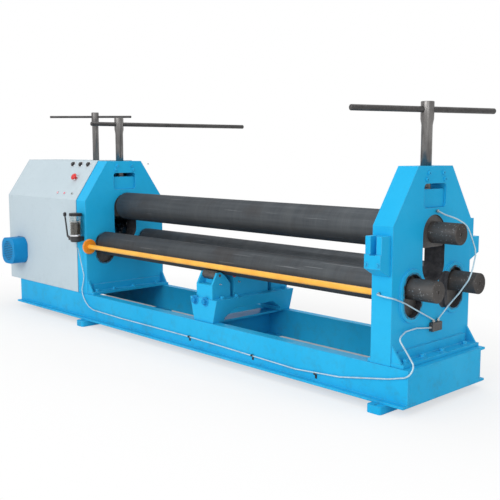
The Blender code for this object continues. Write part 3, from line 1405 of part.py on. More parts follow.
def main():
    clear_scene()
    machine = bpy.data.objects.new("machine", None)
    bpy.context.scene.collection.objects.link(machine)
    blue = material("blue_paint", BLUE, 0.35)
    cover = material("cover_paint", COVER_GREY, 0.40)
    dark_steel = material("dark_steel", STEEL, 0.45, 0.8)
    steel = material("bright_steel", BRIGHT_STEEL, 0.30, 1.0)
    bronze = material("bronze", BRONZE, 0.40, 1.0)
    yellow = material("yellow_paint", YELLOW, 0.40)
    black = material("black_plastic", BLACK, 0.40)
    rubber = material("belt_rubber", BLACK, 0.80)
    red = material("red_plastic", RED, 0.35)
    clear = material("clear_plastic", (0.85, 0.88, 0.90), 0.10)

    build_base(machine, blue)
    build_feet(machine, blue)
    build_frame("right", RIGHT_INNER, RIGHT_OUTER, RIGHT_OUTER, machine, blue)
    build_frame("left", LEFT_OUTER, LEFT_INNER, LEFT_OUTER, machine, blue)
    for side, middle in (("left", LEFT_MIDDLE), ("right", RIGHT_MIDDLE)):
        build_nut(side, middle, machine, blue)
        build_top_bearing(side, middle, machine, dark_steel)
        for end, y in (("front", -HALF_SPACING), ("rear", HALF_SPACING)):
            build_lower_bearing(f"{end}_bearing_{side}", middle, y, machine, dark_steel)
    build_rolls(machine, dark_steel)
    build_screws(machine, dark_steel)
    build_balance(machine, blue, bronze)
    build_gears(machine, steel)
    build_drive_bed(machine, blue)
    build_gearbox(machine, blue, steel)
    build_motor(machine, blue, steel)
    build_cowl(machine, blue)
    build_belt(machine, rubber)
    panel = build_cover(machine, cover)
    build_controls(panel, machine, black, red)
    build_guard_rod(machine, yellow)
    build_support(machine, blue, dark_steel)
    build_brackets(machine, blue)
    build_pump(machine, black, clear)
    build_pipes(machine, steel)
    centre_on_origin(machine)


main()
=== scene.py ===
"""The looks of a plate bending machine: its finishes, fasteners and fine parts.

X runs along the rolls towards their free ends, Y from the operator to the rear,
Z up, in metres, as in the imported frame.
"""

import json
import math

import bmesh
import bpy
from mathutils import Matrix, Vector


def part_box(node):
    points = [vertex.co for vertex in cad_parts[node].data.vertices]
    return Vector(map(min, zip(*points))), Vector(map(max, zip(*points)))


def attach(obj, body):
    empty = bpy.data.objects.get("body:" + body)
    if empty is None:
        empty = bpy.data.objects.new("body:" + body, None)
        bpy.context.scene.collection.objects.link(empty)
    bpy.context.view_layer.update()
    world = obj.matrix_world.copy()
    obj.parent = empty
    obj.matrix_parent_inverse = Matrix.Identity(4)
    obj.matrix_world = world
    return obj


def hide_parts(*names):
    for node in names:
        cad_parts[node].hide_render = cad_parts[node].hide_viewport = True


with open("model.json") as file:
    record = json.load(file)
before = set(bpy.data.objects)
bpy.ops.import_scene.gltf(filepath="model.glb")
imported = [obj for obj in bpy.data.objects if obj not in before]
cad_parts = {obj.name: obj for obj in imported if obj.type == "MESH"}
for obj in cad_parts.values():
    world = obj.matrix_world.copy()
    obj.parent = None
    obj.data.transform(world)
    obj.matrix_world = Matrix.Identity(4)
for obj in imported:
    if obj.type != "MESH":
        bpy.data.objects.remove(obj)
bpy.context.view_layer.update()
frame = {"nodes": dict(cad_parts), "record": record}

FRAME_BODY = "machine_frame"

# Sizes of the solids that their boxes alone don't give
BLOCK_RECESS = 0.005
BARREL_GAP = 0.025
JOURNAL_RADIUS = 0.0535
TAIL_RADIUS = 0.045
ROLL_EDGE = 0.004
OPENING_RADIUS = 0.071
OPENING_DROP = 0.072
SLOT_DROP = 0.155
SLOT_HALF = 0.096
SCREW_TIP_RADIUS = 0.020
SCREW_TIP_DEPTH = 0.0163
SCREW_CONE = 0.030
ROD_FLANGE = 0.0165
FOOT_PLATE_THICK = 0.018
LEG_STEP = 0.012
LEG_TOP = 0.065
LEG_REACH = 0.294
GUSSET_Y = 0.322
GUSSET_REACH = 0.054
GUSSET_TOP = 0.104
BEAM_WEB_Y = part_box("base_front_beam")[0].y + 0.035
BEAM_LIP_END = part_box("base_front_beam")[1].y

# Dark marks on the frames: grease and painted shade round their openings, and a painted shadow
# between the lower shafts
GREASE_AND_SHADE_REACH = 0.010
PAINTED_SHADOW_CENTRE = (-0.205, 0.585)
PAINTED_SHADOW_DROP = 0.085
PAINTED_SHADOW_RADIUS = 0.052

# Controls on the cover's slope: distances up it and from the left side frame
BUTTON_UP = 0.3044
BUTTON_FROM_FRAME = (0.305, 0.199, 0.093)
STOP_UP = 0.1814
STOP_FROM_FRAME = 0.153
LAMP_UP = 0.050
LAMP_FROM_FRAME = (0.094, 0.199, 0.296)
STEM_END = -0.030

# Places of fasteners and fittings
FOOT_BOLT_Y = (-0.286, -0.140, 0.030, 0.240)
FOOT_BOLT_INSET = 0.028
STAND_BOLT_X = (-0.074, 0.020)
STAND_BOLT_UP = 0.124
STAND_LUG_Y = (-0.567, -0.450, -0.134, -0.030)
STAND_LUG_OUT = 0.092
STAND_LUG_UP = 0.140
STAND_FACE_OUT = 0.0735
STAND_CAP_YZ = (-0.4532, 0.4890)
NIPPLE_DROP = 0.052
ROLLER_NODES = (
    "front_outer_roller", "front_inner_roller", "rear_inner_roller", "rear_outer_roller",
)
BRACKET_BOLT_OUT = 0.034
BRACKET_BOLT_UP = 0.062
BRACKET_SCREW_X = 1.787
BRACKET_SCREW_Z = 0.801
WINDOW_SCREW_YZ = ((-0.062, 1.136), (0.062, 1.136), (-0.078, 1.104), (0.078, 1.104))
COVER_SCREWS = 5
COVER_SCREW_INSET = 0.060
COVER_SCREW_EDGE = 0.030
CLIP_X = (0.330, 0.891, 1.367)
CLIP_Z = (0.110, 0.098, 0.091)
PIPE_ENTRY_X = 1.764
PIPE_ENTRY_Z = 0.565
TOP_ENTRY_Y = 0.012
TOP_ENTRY_Z = 0.947

# The floor inside the base, painted darker as shade and kept from the white glow
SHADED_BEHIND = 0.080
SHADED_INSET = 0.080
SHADED_FROM_FRONT = 0.190

WORLD_LEVEL = 0.72
GAP = 0.0002
HEX_STEPS = 24
EDGE_STEPS = 4
THREAD_PITCH = 0.012
THREAD_DEPTH = 0.0022
BAR_END = 0.060


def axis_place(point, direction):
    """A place at a point whose local Z looks in a direction."""
    turn = Vector(direction).normalized().to_track_quat("Z", "Y").to_matrix().to_4x4()
    return Matrix.Translation(Vector(point)) @ turn


def midpoint(node):
    low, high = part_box(node)
    return (low + high) / 2


right_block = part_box("top_bearing_right")
left_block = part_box("top_bearing_left")
RIGHT_OUTER = right_block[1].x + BLOCK_RECESS
RIGHT_INNER = right_block[0].x - BLOCK_RECESS
LEFT_INNER = left_block[1].x + BLOCK_RECESS
LEFT_OUTER = left_block[0].x - BLOCK_RECESS
TOP_AXIS = midpoint("top_roll")
FRONT_AXIS = midpoint("front_lower_roll")
REAR_AXIS = midpoint("rear_lower_roll")
MACHINE_Y = TOP_AXIS.y


class Graph:
    """Adds and links the nodes of one material, or of the world."""

    def __init__(self, name, world=False):
        self.owner = (bpy.data.worlds if world else bpy.data.materials).new(name)
        self.owner.use_nodes = True
        self.tree = self.owner.node_tree
        self.tree.nodes.clear()
        self.out = self.node("ShaderNodeOutputWorld" if world else "ShaderNodeOutputMaterial")
        if not world:
            self.place = self.node("ShaderNodeTexCoord").outputs["Object"]

    def node(self, kind, *values, **settings):
        made = self.tree.nodes.new(kind)
        for key, value in settings.items():
            setattr(made, key, value)
        for socket, value in zip(made.inputs, values):
            self.set(socket, value)
        return made

    def set(self, socket, value):
        if isinstance(value, bpy.types.NodeSocket):
            self.tree.links.new(value, socket)
        elif socket.type == "RGBA":
            socket.default_value = (*value, 1.0)
        else:
            socket.default_value = value

    def fill(self, node, **inputs):
        """Sets a node's inputs by their names, with underscores for blanks."""
        for name, value in inputs.items():
            self.set(node.inputs[name.replace("_", " ")], value)
        return node

    def math(self, operation, *values, clamp=False):
        made = self.node("ShaderNodeMath", *values, operation=operation, use_clamp=clamp)
        return made.outputs[0]

    def times(self, one, two):
        return self.math("MULTIPLY", one, two)

    def squares(self, one, two):
        return self.math("ADD", self.times(one, one), self.times(two, two))

    def stretch(self, x, y, z):
        made = self.node("ShaderNodeVectorMath", self.place, (x, y, z), operation="MULTIPLY")
        return made.outputs[0]

    def noise(self, scale, detail, rough, vector=None):
        made = self.node("ShaderNodeTexNoise")
        vector = vector or self.place
        self.fill(made, Vector=vector, Scale=scale, Detail=detail, Roughness=rough)
        return made.outputs["Fac"]

    def ramp(self, value, *stops):
        """Colours or greys between positions, each stop (position, colour)."""
        made = self.node("ShaderNodeValToRGB", value)
        for element, (position, colour) in zip(made.color_ramp.elements, stops):
            element.position = position
            if isinstance(colour, (int, float)):
                colour = (colour, colour, colour)
            element.color = (*colour, 1.0)
        return made.outputs[0]

    def blend(self, factor, one, two):
        made = self.node("ShaderNodeMix", factor, data_type="RGBA")
        self.set(made.inputs[6], one)
        self.set(made.inputs[7], two)
        return made.outputs[2]

    def over(self, tone, mask, share, colour):
        """A tone that a share of a colour covers where a mask is high."""
        return self.blend(self.times(mask, share), tone, colour)

    def parts(self, vector):
        return self.node("ShaderNodeSeparateXYZ", vector).outputs

    def edges(self, radius):
        """A mask, high at edges and inner corners within a radius, and the rounded normal."""
        bevel = self.fill(self.node("ShaderNodeBevel", samples=4), Radius=radius)
        flat = self.node("ShaderNodeNewGeometry").outputs["True Normal"]
        dot = self.node("ShaderNodeVectorMath", bevel.outputs[0], flat, operation="DOT_PRODUCT")
        turned = self.math("SUBTRACT", 1.0, dot.outputs["Value"])
        return self.ramp(turned, (0.02, 0.0), (0.22, 1.0)), bevel.outputs[0]

    def bump(self, height, distance, strength, normal=None):
        made = self.node("ShaderNodeBump")
        self.fill(made, Strength=strength, Distance=distance, Height=height)
        if normal is not None:
            self.fill(made, Normal=normal)
        return made.outputs[0]

    def surface(self, shader):
        self.tree.links.new(shader.outputs[0], self.out.inputs["Surface"])
        return self.owner

    def finish(self, **inputs):
        return self.surface(self.fill(self.node("ShaderNodeBsdfPrincipled"), **inputs))


def tint(colour, factor, lift=0.0):
    """A colour made darker or paler."""
    return tuple(min(1.0, c * factor + lift) for c in colour)


def capsule_mask(graph, y, z, centre, drop, radius):
    """One inside a hole with round ends, given its upper centre and its drop."""
    across = graph.math("SUBTRACT", y, centre[0])
    up = graph.math("SUBTRACT", z, centre[1])
    low = graph.math("MINIMUM", graph.math("ADD", up, drop), 0.0)
    level = graph.math("ADD", low, graph.math("MAXIMUM", up, 0.0))
    return graph.math("LESS_THAN", graph.squares(across, level), radius * radius)


def openings_mask(graph, y, z, beyond):
    """One inside either lower opening and up to a distance beyond its edge."""
    reach = OPENING_RADIUS + beyond
    front, rear = (
        capsule_mask(graph, y, z, (axis.y, axis.z), OPENING_DROP, reach)
        for axis in (FRONT_AXIS, REAR_AXIS)
    )
    return graph.math("MAXIMUM", front, rear)


def bare_walls_grease_and_painted_shade(graph):
    """One on the walls of the frames' slot and openings, on the grease and painted shade round the
    openings, and on the painted shadow between the lower shafts.
    """
    x, y, z = graph.parts(graph.place)
    normal = graph.node("ShaderNodeNewGeometry").outputs["True Normal"]
    x_part = graph.math("ABSOLUTE", graph.parts(normal)[0])
    on_wall = graph.math("LESS_THAN", x_part, 0.5)
    lower = openings_mask(graph, y, z, ROLL_EDGE)
    slot_top = right_block[1].z - SLOT_HALF
    slot = capsule_mask(graph, y, z, (MACHINE_Y, slot_top), SLOT_DROP, SLOT_HALF + ROLL_EDGE)
    walls = graph.times(on_wall, graph.math("MAXIMUM", lower, slot))
    patches = graph.ramp(graph.noise(34.0, 5.0, 0.65), (0.40, 0.25), (0.60, 1.0))
    # Grease round the lower openings, darkening their rims partly as painted shade.
    grease = graph.times(openings_mask(graph, y, z, GREASE_AND_SHADE_REACH), patches)
    # A painted shadow between the lower shafts, on the right frame's outer face.
    painted_shadow = capsule_mask(graph, y, z, PAINTED_SHADOW_CENTRE, PAINTED_SHADOW_DROP, PAINTED_SHADOW_RADIUS)
    on_right_face = graph.math("GREATER_THAN", x, RIGHT_OUTER - ROLL_EDGE)
    # From here the grease mask also carries the painted shadow.
    grease = graph.math("MAXIMUM", grease, graph.times(painted_shadow, on_right_face))
    return graph.math("MAXIMUM", walls, grease)


def enamel(name, colour, deep, gloss, walls=False):
    """Sprayed machine enamel: uneven tone, orange peel, paler edges that are partly rubbed paint
    and partly a painted highlight, splashes and specks; with walls, bare steel with grease and
    painted shade at the frames' openings.
    """
    graph = Graph(name)
    broad = graph.noise(1.7, 5.0, 0.6)
    tone = graph.blend(graph.ramp(broad, (0.32, 0.0), (0.70, 1.0)), deep, colour)
    mottle = graph.ramp(graph.noise(24.0, 6.0, 0.65), (0.55, 0.0), (0.80, 0.35))
    tone = graph.blend(mottle, tone, tint(colour, 0.78))
    edge, soft = graph.edges(0.004)
    patchy = graph.ramp(graph.noise(9.0, 5.0, 0.7), (0.40, 0.25), (0.62, 1.0))
    # Paler edges: partly rubbed paint, partly a painted highlight.
    tone = graph.over(tone, graph.times(edge, patchy), 0.60, tint(colour, 0.80, 0.22))
    height = graph.math("DIVIDE", graph.parts(graph.place)[2], 0.34)
    low = graph.math("SUBTRACT", 1.0, height, clamp=True)
    splash = graph.ramp(graph.noise(13.0, 8.0, 0.72), (0.50, 0.0), (0.66, 1.0))
    tone = graph.over(tone, graph.times(low, splash), 0.28, (0.060, 0.085, 0.100))
    specks = graph.ramp(graph.noise(115.0, 3.0, 0.5), (0.71, 0.0), (0.75, 1.0))
    tone = graph.over(tone, specks, 0.20, (0.05, 0.10, 0.16))
    rough = graph.ramp(graph.noise(6.0, 4.0, 0.6), (0.3, gloss - 0.05), (0.7, gloss + 0.11))
    if walls:
        fine = graph.noise(30.0, 6.0, 0.7)
        metal = graph.ramp(fine, (0.3, (0.030, 0.032, 0.038)), (0.7, (0.085, 0.085, 0.092)))
        # Bare steel on the walls of the slot and openings, and grease with painted shade round the
        # openings.
        tone = graph.blend(bare_walls_grease_and_painted_shade(graph), tone, metal)
    waves = graph.bump(graph.noise(7.0, 2.0, 0.5), 0.004, 0.35, soft)
    peel = graph.bump(graph.noise(150.0, 2.0, 0.5), 0.0006, 0.30, waves)
    return graph.finish(Base_Color=tone, Roughness=rough, Normal=peel, Specular_IOR_Level=0.06)


def roll_steel(name, axis):
    """Dark rolled steel: streaks along the roll, fine rings round it, pitted journals."""
    graph = Graph(name)
    streaks = graph.noise(1.0, 7.0, 0.62, graph.stretch(1.4, 42.0, 42.0))
    rings = graph.noise(1.0, 5.0, 0.6, graph.stretch(260.0, 5.0, 5.0))
    bands = graph.noise(1.0, 6.0, 0.7, graph.stretch(9.0, 0.9, 0.9))
    blotch = graph.noise(3.2, 6.0, 0.62)
    tone = graph.ramp(streaks, (0.30, (0.060, 0.068, 0.076)), (0.72, (0.094, 0.104, 0.114)))
    for pattern, start, end, share, colour in (
        (bands, 0.42, 0.66, 0.55, (0.104, 0.114, 0.120)),
        (rings, 0.45, 0.75, 0.35, (0.140, 0.140, 0.144)),
        (blotch, 0.52, 0.74, 0.50, (0.074, 0.062, 0.056)),
    ):
        tone = graph.blend(graph.ramp(pattern, (start, 0.0), (end, share)), tone, colour)
    cuts = graph.noise(1.0, 2.0, 0.5, graph.stretch(2.2, 120.0, 120.0))
    cuts = graph.ramp(cuts, (0.685, 0.0), (0.71, 1.0))
    tone = graph.over(tone, cuts, 0.45, (0.26, 0.27, 0.28))
    _, y, z = graph.parts(graph.place)
    journal = capsule_mask(graph, y, z, (axis.y, axis.z), 0.0, JOURNAL_RADIUS + ROLL_EDGE / 4)
    shaft = graph.ramp(blotch, (0.35, (0.066, 0.060, 0.058)), (0.65, (0.112, 0.106, 0.102)))
    pits = graph.ramp(graph.noise(95.0, 4.0, 0.6), (0.62, 0.0), (0.68, 1.0))
    shaft = graph.over(shaft, pits, 0.70, (0.34, 0.35, 0.35))
    tone = graph.blend(journal, tone, shaft)
    edge, soft = graph.edges(0.003)
    tone = graph.over(tone, edge, 0.4, (0.26, 0.26, 0.26))
    rough = graph.ramp(blotch, (0.3, 0.44), (0.7, 0.64))
    normal = graph.bump(rings, 0.0006, 0.45, soft)
    normal = graph.bump(streaks, 0.0012, 0.30, normal)
    return graph.finish(
        Base_Color=tone, Metallic=0.68, Roughness=rough, Normal=normal,
        Specular_IOR_Level=0.10, Specular_Tint=(0.35, 0.36, 0.38),
    )


def worked_steel(name, dark, light, metallic, rough, grain=(90.0, 90.0, 90.0)):
    """Machined or cast metal with a grain, stains and brighter edges."""
    graph = Graph(name)
    fine = graph.noise(1.0, 5.0, 0.6, graph.stretch(*grain))
    stain = graph.noise(11.0, 6.0, 0.65)
    tone = graph.blend(graph.ramp(fine, (0.30, 0.0), (0.70, 1.0)), dark, light)
    tone = graph.blend(graph.ramp(stain, (0.48, 0.0), (0.75, 0.6)), tone, tint(dark, 0.55))
    edge, soft = graph.edges(0.0015)
    tone = graph.over(tone, edge, 0.5, tint(light, 1.5, 0.08))
    roughness = graph.ramp(stain, (0.3, rough - 0.07), (0.7, rough + 0.13))
    normal = graph.bump(fine, 0.0004, 0.4, soft)
    return graph.finish(Base_Color=tone, Metallic=metallic, Roughness=roughness, Normal=normal)


def rod_enamel():
    """Yellow rod with an orange flange at its left end, chipped along its length."""
    graph = Graph("rod_enamel")
    flange_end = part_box("safety_rod")[0].x + ROD_FLANGE
    flange = graph.math("LESS_THAN", graph.parts(graph.place)[0], flange_end)
    uneven = graph.noise(8.0, 5.0, 0.6)
    tone = graph.ramp(uneven, (0.3, (0.84, 0.38, 0.030)), (0.7, (0.94, 0.50, 0.055)))
    tone = graph.blend(flange, tone, (0.82, 0.27, 0.012))
    marks = graph.noise(1.0, 4.0, 0.6, graph.stretch(18.0, 70.0, 70.0))
    chips = graph.ramp(marks, (0.66, 0.0), (0.70, 1.0))
    tone = graph.over(tone, chips, 0.55, (0.16, 0.10, 0.05))
    edge, soft = graph.edges(0.002)
    tone = graph.over(tone, edge, 0.5, (1.0, 0.66, 0.22))
    normal = graph.bump(marks, 0.0006, 0.3, soft)
    rough = graph.ramp(marks, (0.3, 0.30), (0.7, 0.46))
    return graph.finish(Base_Color=tone, Roughness=rough, Normal=normal, Coat_Weight=0.2)


def plastic(name, colour, rough, subsurface=0.0):
    """Moulded plastic with a fine grain, finger marks and paler edges."""
    graph = Graph(name)
    marks = graph.noise(26.0, 5.0, 0.65)
    marked = graph.ramp(marks, (0.45, 0.0), (0.75, 0.5))
    tone = graph.blend(marked, colour, tint(colour, 1.5, 0.012))
    edge, soft = graph.edges(0.001)
    tone = graph.over(tone, edge, 0.35, tint(colour, 1.6, 0.03))
    roughness = graph.ramp(marks, (0.3, rough - 0.05), (0.7, rough + 0.10))
    normal = graph.bump(graph.noise(240.0, 2.0, 0.5), 0.0003, 0.25, soft)
    return graph.finish(
        Base_Color=tone, Roughness=roughness, Normal=normal, Subsurface_Weight=subsurface
    )


def belt_rubber():
    """Ribbed black belt with chalky wear."""
    graph = Graph("belt_rubber_finish")
    ribs = graph.math("SINE", graph.times(graph.parts(graph.place)[1], 1300.0))
    wear = graph.noise(40.0, 5.0, 0.6)
    tone = graph.ramp(wear, (0.35, (0.014, 0.014, 0.016)), (0.75, (0.060, 0.058, 0.056)))
    normal = graph.bump(ribs, 0.001, 0.8)
    rough = graph.ramp(wear, (0.3, 0.70), (0.7, 0.88))
    return graph.finish(Base_Color=tone, Roughness=rough, Normal=normal)


def clear_cup():
    """Clear moulded cup, faintly green, with fine scratches."""
    graph = Graph("clear_cup")
    marks = graph.noise(1.0, 4.0, 0.6, graph.stretch(30.0, 30.0, 160.0))
    rough = graph.ramp(marks, (0.45, 0.04), (0.75, 0.20))
    tone = graph.ramp(marks, (0.30, (0.90, 0.93, 0.92)), (0.80, (0.78, 0.81, 0.80)))
    normal = graph.bump(marks, 0.0002, 0.2)
    return graph.finish(
        Base_Color=tone, Roughness=rough, Normal=normal, Transmission_Weight=1.0, IOR=1.49
    )


def lamp_lens(name, colour):
    """A coloured lens with fine facets, as moulded inside indicator lamps."""
    graph = Graph(name)
    cells = graph.fill(graph.node("ShaderNodeTexVoronoi"), Vector=graph.place, Scale=420.0)
    distance = cells.outputs["Distance"]
    facets = graph.ramp(distance, (0.1, 0.0), (0.7, 1.0))
    tone = graph.blend(facets, colour, tint(colour, 1.35, 0.06))
    normal = graph.bump(distance, 0.0006, 0.6)
    return graph.finish(
        Base_Color=tone, Roughness=0.16, Normal=normal, Coat_Weight=0.6, Coat_Roughness=0.05
    )


def grease_finish():
    """Dark brown grease with swirls."""
    graph = Graph("grease")
    swirl = graph.noise(1.0, 5.0, 0.6, graph.stretch(60.0, 60.0, 140.0))
    tone = graph.ramp(swirl, (0.3, (0.030, 0.022, 0.016)), (0.7, (0.085, 0.060, 0.035)))
    normal = graph.bump(swirl, 0.0008, 0.5)
    return graph.finish(Base_Color=tone, Roughness=0.28, Normal=normal)


def add_object(name, bm):
    """Turns a bmesh into an object of the scene."""
    mesh = bpy.data.meshes.new(name)
    bm.to_mesh(mesh)
    bm.free()
    obj = bpy.data.objects.new(name, mesh)
    bpy.context.scene.collection.objects.link(obj)
    return obj


def new_piece(name, bm, finish, body=FRAME_BODY, sharp=40.0):
    """A finished object from a bmesh, riding on a body."""
    bmesh.ops.recalc_face_normals(bm, faces=bm.faces)
    obj = add_object(name, bm)
    obj.data.shade_smooth()
    obj.data.set_sharp_from_angle(angle=math.radians(sharp))
    obj.data.materials.append(finish)
    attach(obj, body)
    return obj


def add_rings(bm, rings, closed=False, capped=False):
    """Skins a run of point rings; a ring of one point closes to it."""
    made = [[bm.verts.new(point) for point in ring] for ring in rings]
    pairs = list(zip(made, made[1:]))
    if closed:
        pairs.append((made[-1], made[0]))
    for one, two in pairs:
        count = max(len(one), len(two))
        for i in range(count):
            j = (i + 1) % count
            corners = [one[i % len(one)], one[j % len(one)], two[j % len(two)], two[i % len(two)]]
            bm.faces.new(list(dict.fromkeys(corners)))
    if capped:
        bm.faces.new(made[0])
        bm.faces.new(made[-1])


def polar(radius, angle, height):
    return Vector((radius * math.cos(angle), radius * math.sin(angle), height))


def circle(place, height, radius, steps=HEX_STEPS):
    """A ring of points about the local Z axis of a place, or the one point on it."""
    if radius == 0.0:
        return [place @ Vector((0.0, 0.0, height))]
    return [place @ polar(radius, 2 * math.pi * i / steps, height) for i in range(steps)]


def hexagon(place, height, across, inner=0.0, slope=0.0):
    """A ring on a hexagon's outline that a slope lowers with its distance from a radius."""
    ring = []
    for i in range(HEX_STEPS):
        angle = 2 * math.pi * i / HEX_STEPS
        radius = across / 2 / math.cos((angle + math.pi / 6) % (math.pi / 3) - math.pi / 6)
        ring.append(place @ polar(radius, angle, height - (radius - inner) * slope))
    return ring


def add_lathe(bm, profile, place, steps, closed=False):
    """Points (height, radius) turned about the local Z axis of a place."""
    add_rings(bm, [circle(place, height, radius, steps) for height, radius in profile], closed)


def new_turned(
    name, profile, place, steps, finish, body=FRAME_BODY, sharp=40.0, closed=False
):
    """A finished piece that is turned about the local Z axis of a place."""
    bm = bmesh.new()
    add_lathe(bm, profile, place, steps, closed)
    return new_piece(name, bm, finish, body, sharp)


def rounded_edge(height, radius, edge, foot=False):
    """Profile points round the upper outer edge of a turned piece, or round its foot."""
    points = []
    for i in range(EDGE_STEPS, -1, -1):
        angle = math.pi / 2 * (i / EDGE_STEPS)
        if foot:
            level, reach = height + edge - edge * math.sin(angle), edge * math.cos(angle)
        else:
            level, reach = height - edge + edge * math.cos(angle), edge * math.sin(angle)
        points.append((level, radius - edge + reach))
    return points


def new_collar(name, place, inner, outer, height, edge, steps, finish, low=GAP):
    """A ring seated on a place's plane, with a rounded upper edge."""
    profile = [(low, inner), (low, outer)] + rounded_edge(height, outer, edge) + [(height, inner)]
    new_turned(name, profile, place, steps, finish, closed=True)


def add_bolt(bm, place, across):
    """A chamfered hexagon head on its washer, seated on the place's plane."""
    thick = across * 0.13
    outer = across * 0.98
    inner = across * 0.30
    edge = thick * 0.35
    profile = [(GAP, inner), (GAP, outer), (thick - edge, outer), (thick, outer - edge)]
    add_lathe(bm, profile + [(thick, inner)], place, 32, closed=True)
    low = thick + GAP
    high = thick + across * 0.62
    top = across * 0.46
    add_rings(bm, [
        circle(place, low, 0.0), hexagon(place, low, across),
        hexagon(place, high, across, top, math.tan(math.radians(30))),
        circle(place, high, top), circle(place, high, 0.0),
    ])


def add_socket_screw(bm, place, radius):
    """A round-headed screw with a hexagon socket."""
    height = radius * 0.9
    edge = radius * 0.3
    floor = height * 0.45
    across = radius * 0.87
    profile = [(GAP, 0.0), (GAP, radius), (height - edge, radius)]
    profile += [(height - edge * 0.3, radius - edge * 0.3), (height, radius - edge)]
    rings = [circle(place, level, reach) for level, reach in profile]
    rings += [hexagon(place, height, across), hexagon(place, floor, across)]
    add_rings(bm, rings + [circle(place, floor, 0.0)])


def add_sleeve_nut(bm, place):
    """A small hexagon nut with a collar, bored for the pipe."""
    inner = 0.0042
    collar = 0.0055
    across = 0.014
    eased = across * 0.92
    rings = [circle(place, GAP, inner), circle(place, GAP, collar), circle(place, 0.003, collar)]
    rings += [hexagon(place, 0.003, eased), hexagon(place, 0.004, across)]
    rings += [hexagon(place, 0.011, across), hexagon(place, 0.012, eased)]
    rings += [circle(place, 0.0125, 0.0056), circle(place, 0.0165, 0.0048)]
    add_rings(bm, rings + [circle(place, 0.0165, inner)], closed=True)


def add_bead(bm, start, end, radius):
    """A weld bead between two points: a low rippled run with tapered ends."""
    start, end = Vector(start), Vector(end)
    along = (end - start).normalized()
    length = (end - start).length
    count = max(6, int(length / (radius * 0.75)))
    turn = along.to_track_quat("Z", "Y").to_matrix()
    sides = 8
    rings = [[start]]
    for i in range(1, count):
        taper = min(1.0, i / 3, (count - i) / 3)
        ripple = 1.0 + 0.14 * (1 if i % 2 else -1)
        size = radius * ripple * math.sqrt(taper)
        wander = radius * 0.16 * math.sin(i * 1.7) * math.sin(i * 0.31)
        centre = start + along * (length * i / count)
        ring = []
        for k in range(sides):
            angle = 2 * math.pi * k / sides
            spot = Vector((size * math.cos(angle) + wander, size * math.sin(angle), 0.0))
            ring.append(centre + turn @ spot)
        rings.append(ring)
    add_rings(bm, rings + [[end]])


def add_thread(bm, centre, root, crest, low, high):
    """A trapezoid ridge wound round a stem, fading out at both ends."""
    steps = 40
    fade_steps = 12
    count = int((high - low - THREAD_PITCH) / THREAD_PITCH * steps)
    half_foot = THREAD_PITCH * 0.34
    half_crest = THREAD_PITCH * 0.20
    sunk = root - 0.0006
    rings = []
    for i in range(count + 1):
        angle = 2 * math.pi * i / steps
        level = low + THREAD_PITCH / 2 + THREAD_PITCH * i / steps
        out = Vector((math.cos(angle), math.sin(angle), 0.0))
        fade = min(1.0, i / fade_steps, (count - i) / fade_steps)
        tip = root + (crest - root) * fade
        section = ((sunk, -half_foot), (tip, -half_crest), (tip, half_crest), (sunk, half_foot))
        rings.append([centre + out * r + Vector((0.0, 0.0, level + z)) for r, z in section])
    add_rings(bm, rings, capped=True)


def carve(obj, cutter_bm):
    """Cuts a closed shape out of an object's mesh."""
    bmesh.ops.recalc_face_normals(cutter_bm, faces=cutter_bm.faces)
    cutter = add_object("cutter", cutter_bm)
    change = obj.modifiers.new("carve", "BOOLEAN")
    change.operation = "DIFFERENCE"
    change.solver = "EXACT"
    change.object = cutter
    graph = bpy.context.evaluated_depsgraph_get()
    carved = bpy.data.meshes.new_from_object(obj.evaluated_get(graph))
    obj.modifiers.clear()
    obj.data = carved
    bpy.data.objects.remove(cutter, do_unlink=True)
    carved.set_sharp_from_angle(angle=math.radians(40))


def along_x(axis):
    """A place on an axis along X whose local Z is X, so heights are X positions."""
    return Matrix((
        (0.0, 0.0, 1.0, 0.0), (1.0, 0.0, 0.0, axis.y), (0.0, 1.0, 0.0, axis.z), (0, 0, 0, 1)
    ))


def dress_roll(node, body, finish):
    """A finely turned roll with eased edges and centre holes in both ends."""
    low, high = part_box(node)
    axis = (low + high) / 2
    radius = (high.z - low.z) / 2
    left = LEFT_INNER + BARREL_GAP
    right = RIGHT_INNER - BARREL_GAP
    hole = 0.009
    deep = 0.016
    fillet = 0.006
    profile = [(low.x + deep, 0.0), (low.x + deep * 0.7, hole * 0.4), (low.x, hole)]
    profile += rounded_edge(low.x, TAIL_RADIUS, ROLL_EDGE, foot=True)
    profile += [(LEFT_OUTER - 0.004, TAIL_RADIUS), (LEFT_OUTER - 0.002, JOURNAL_RADIUS)]
    profile += [(left - fillet, JOURNAL_RADIUS), (left, JOURNAL_RADIUS + fillet)]
    profile += rounded_edge(left, radius, ROLL_EDGE, foot=True)
    profile += rounded_edge(right, radius, ROLL_EDGE)
    profile += [(right, JOURNAL_RADIUS + fillet), (right + fillet, JOURNAL_RADIUS)]
    profile += rounded_edge(high.x, JOURNAL_RADIUS, ROLL_EDGE)
    profile += [(high.x, hole), (high.x - deep * 0.7, hole * 0.4), (high.x - deep, 0.0)]
    place = along_x(axis)
    piece = new_turned(f"{node}_turned", profile, place, 96, finish, body, 30.0)
    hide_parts(node)


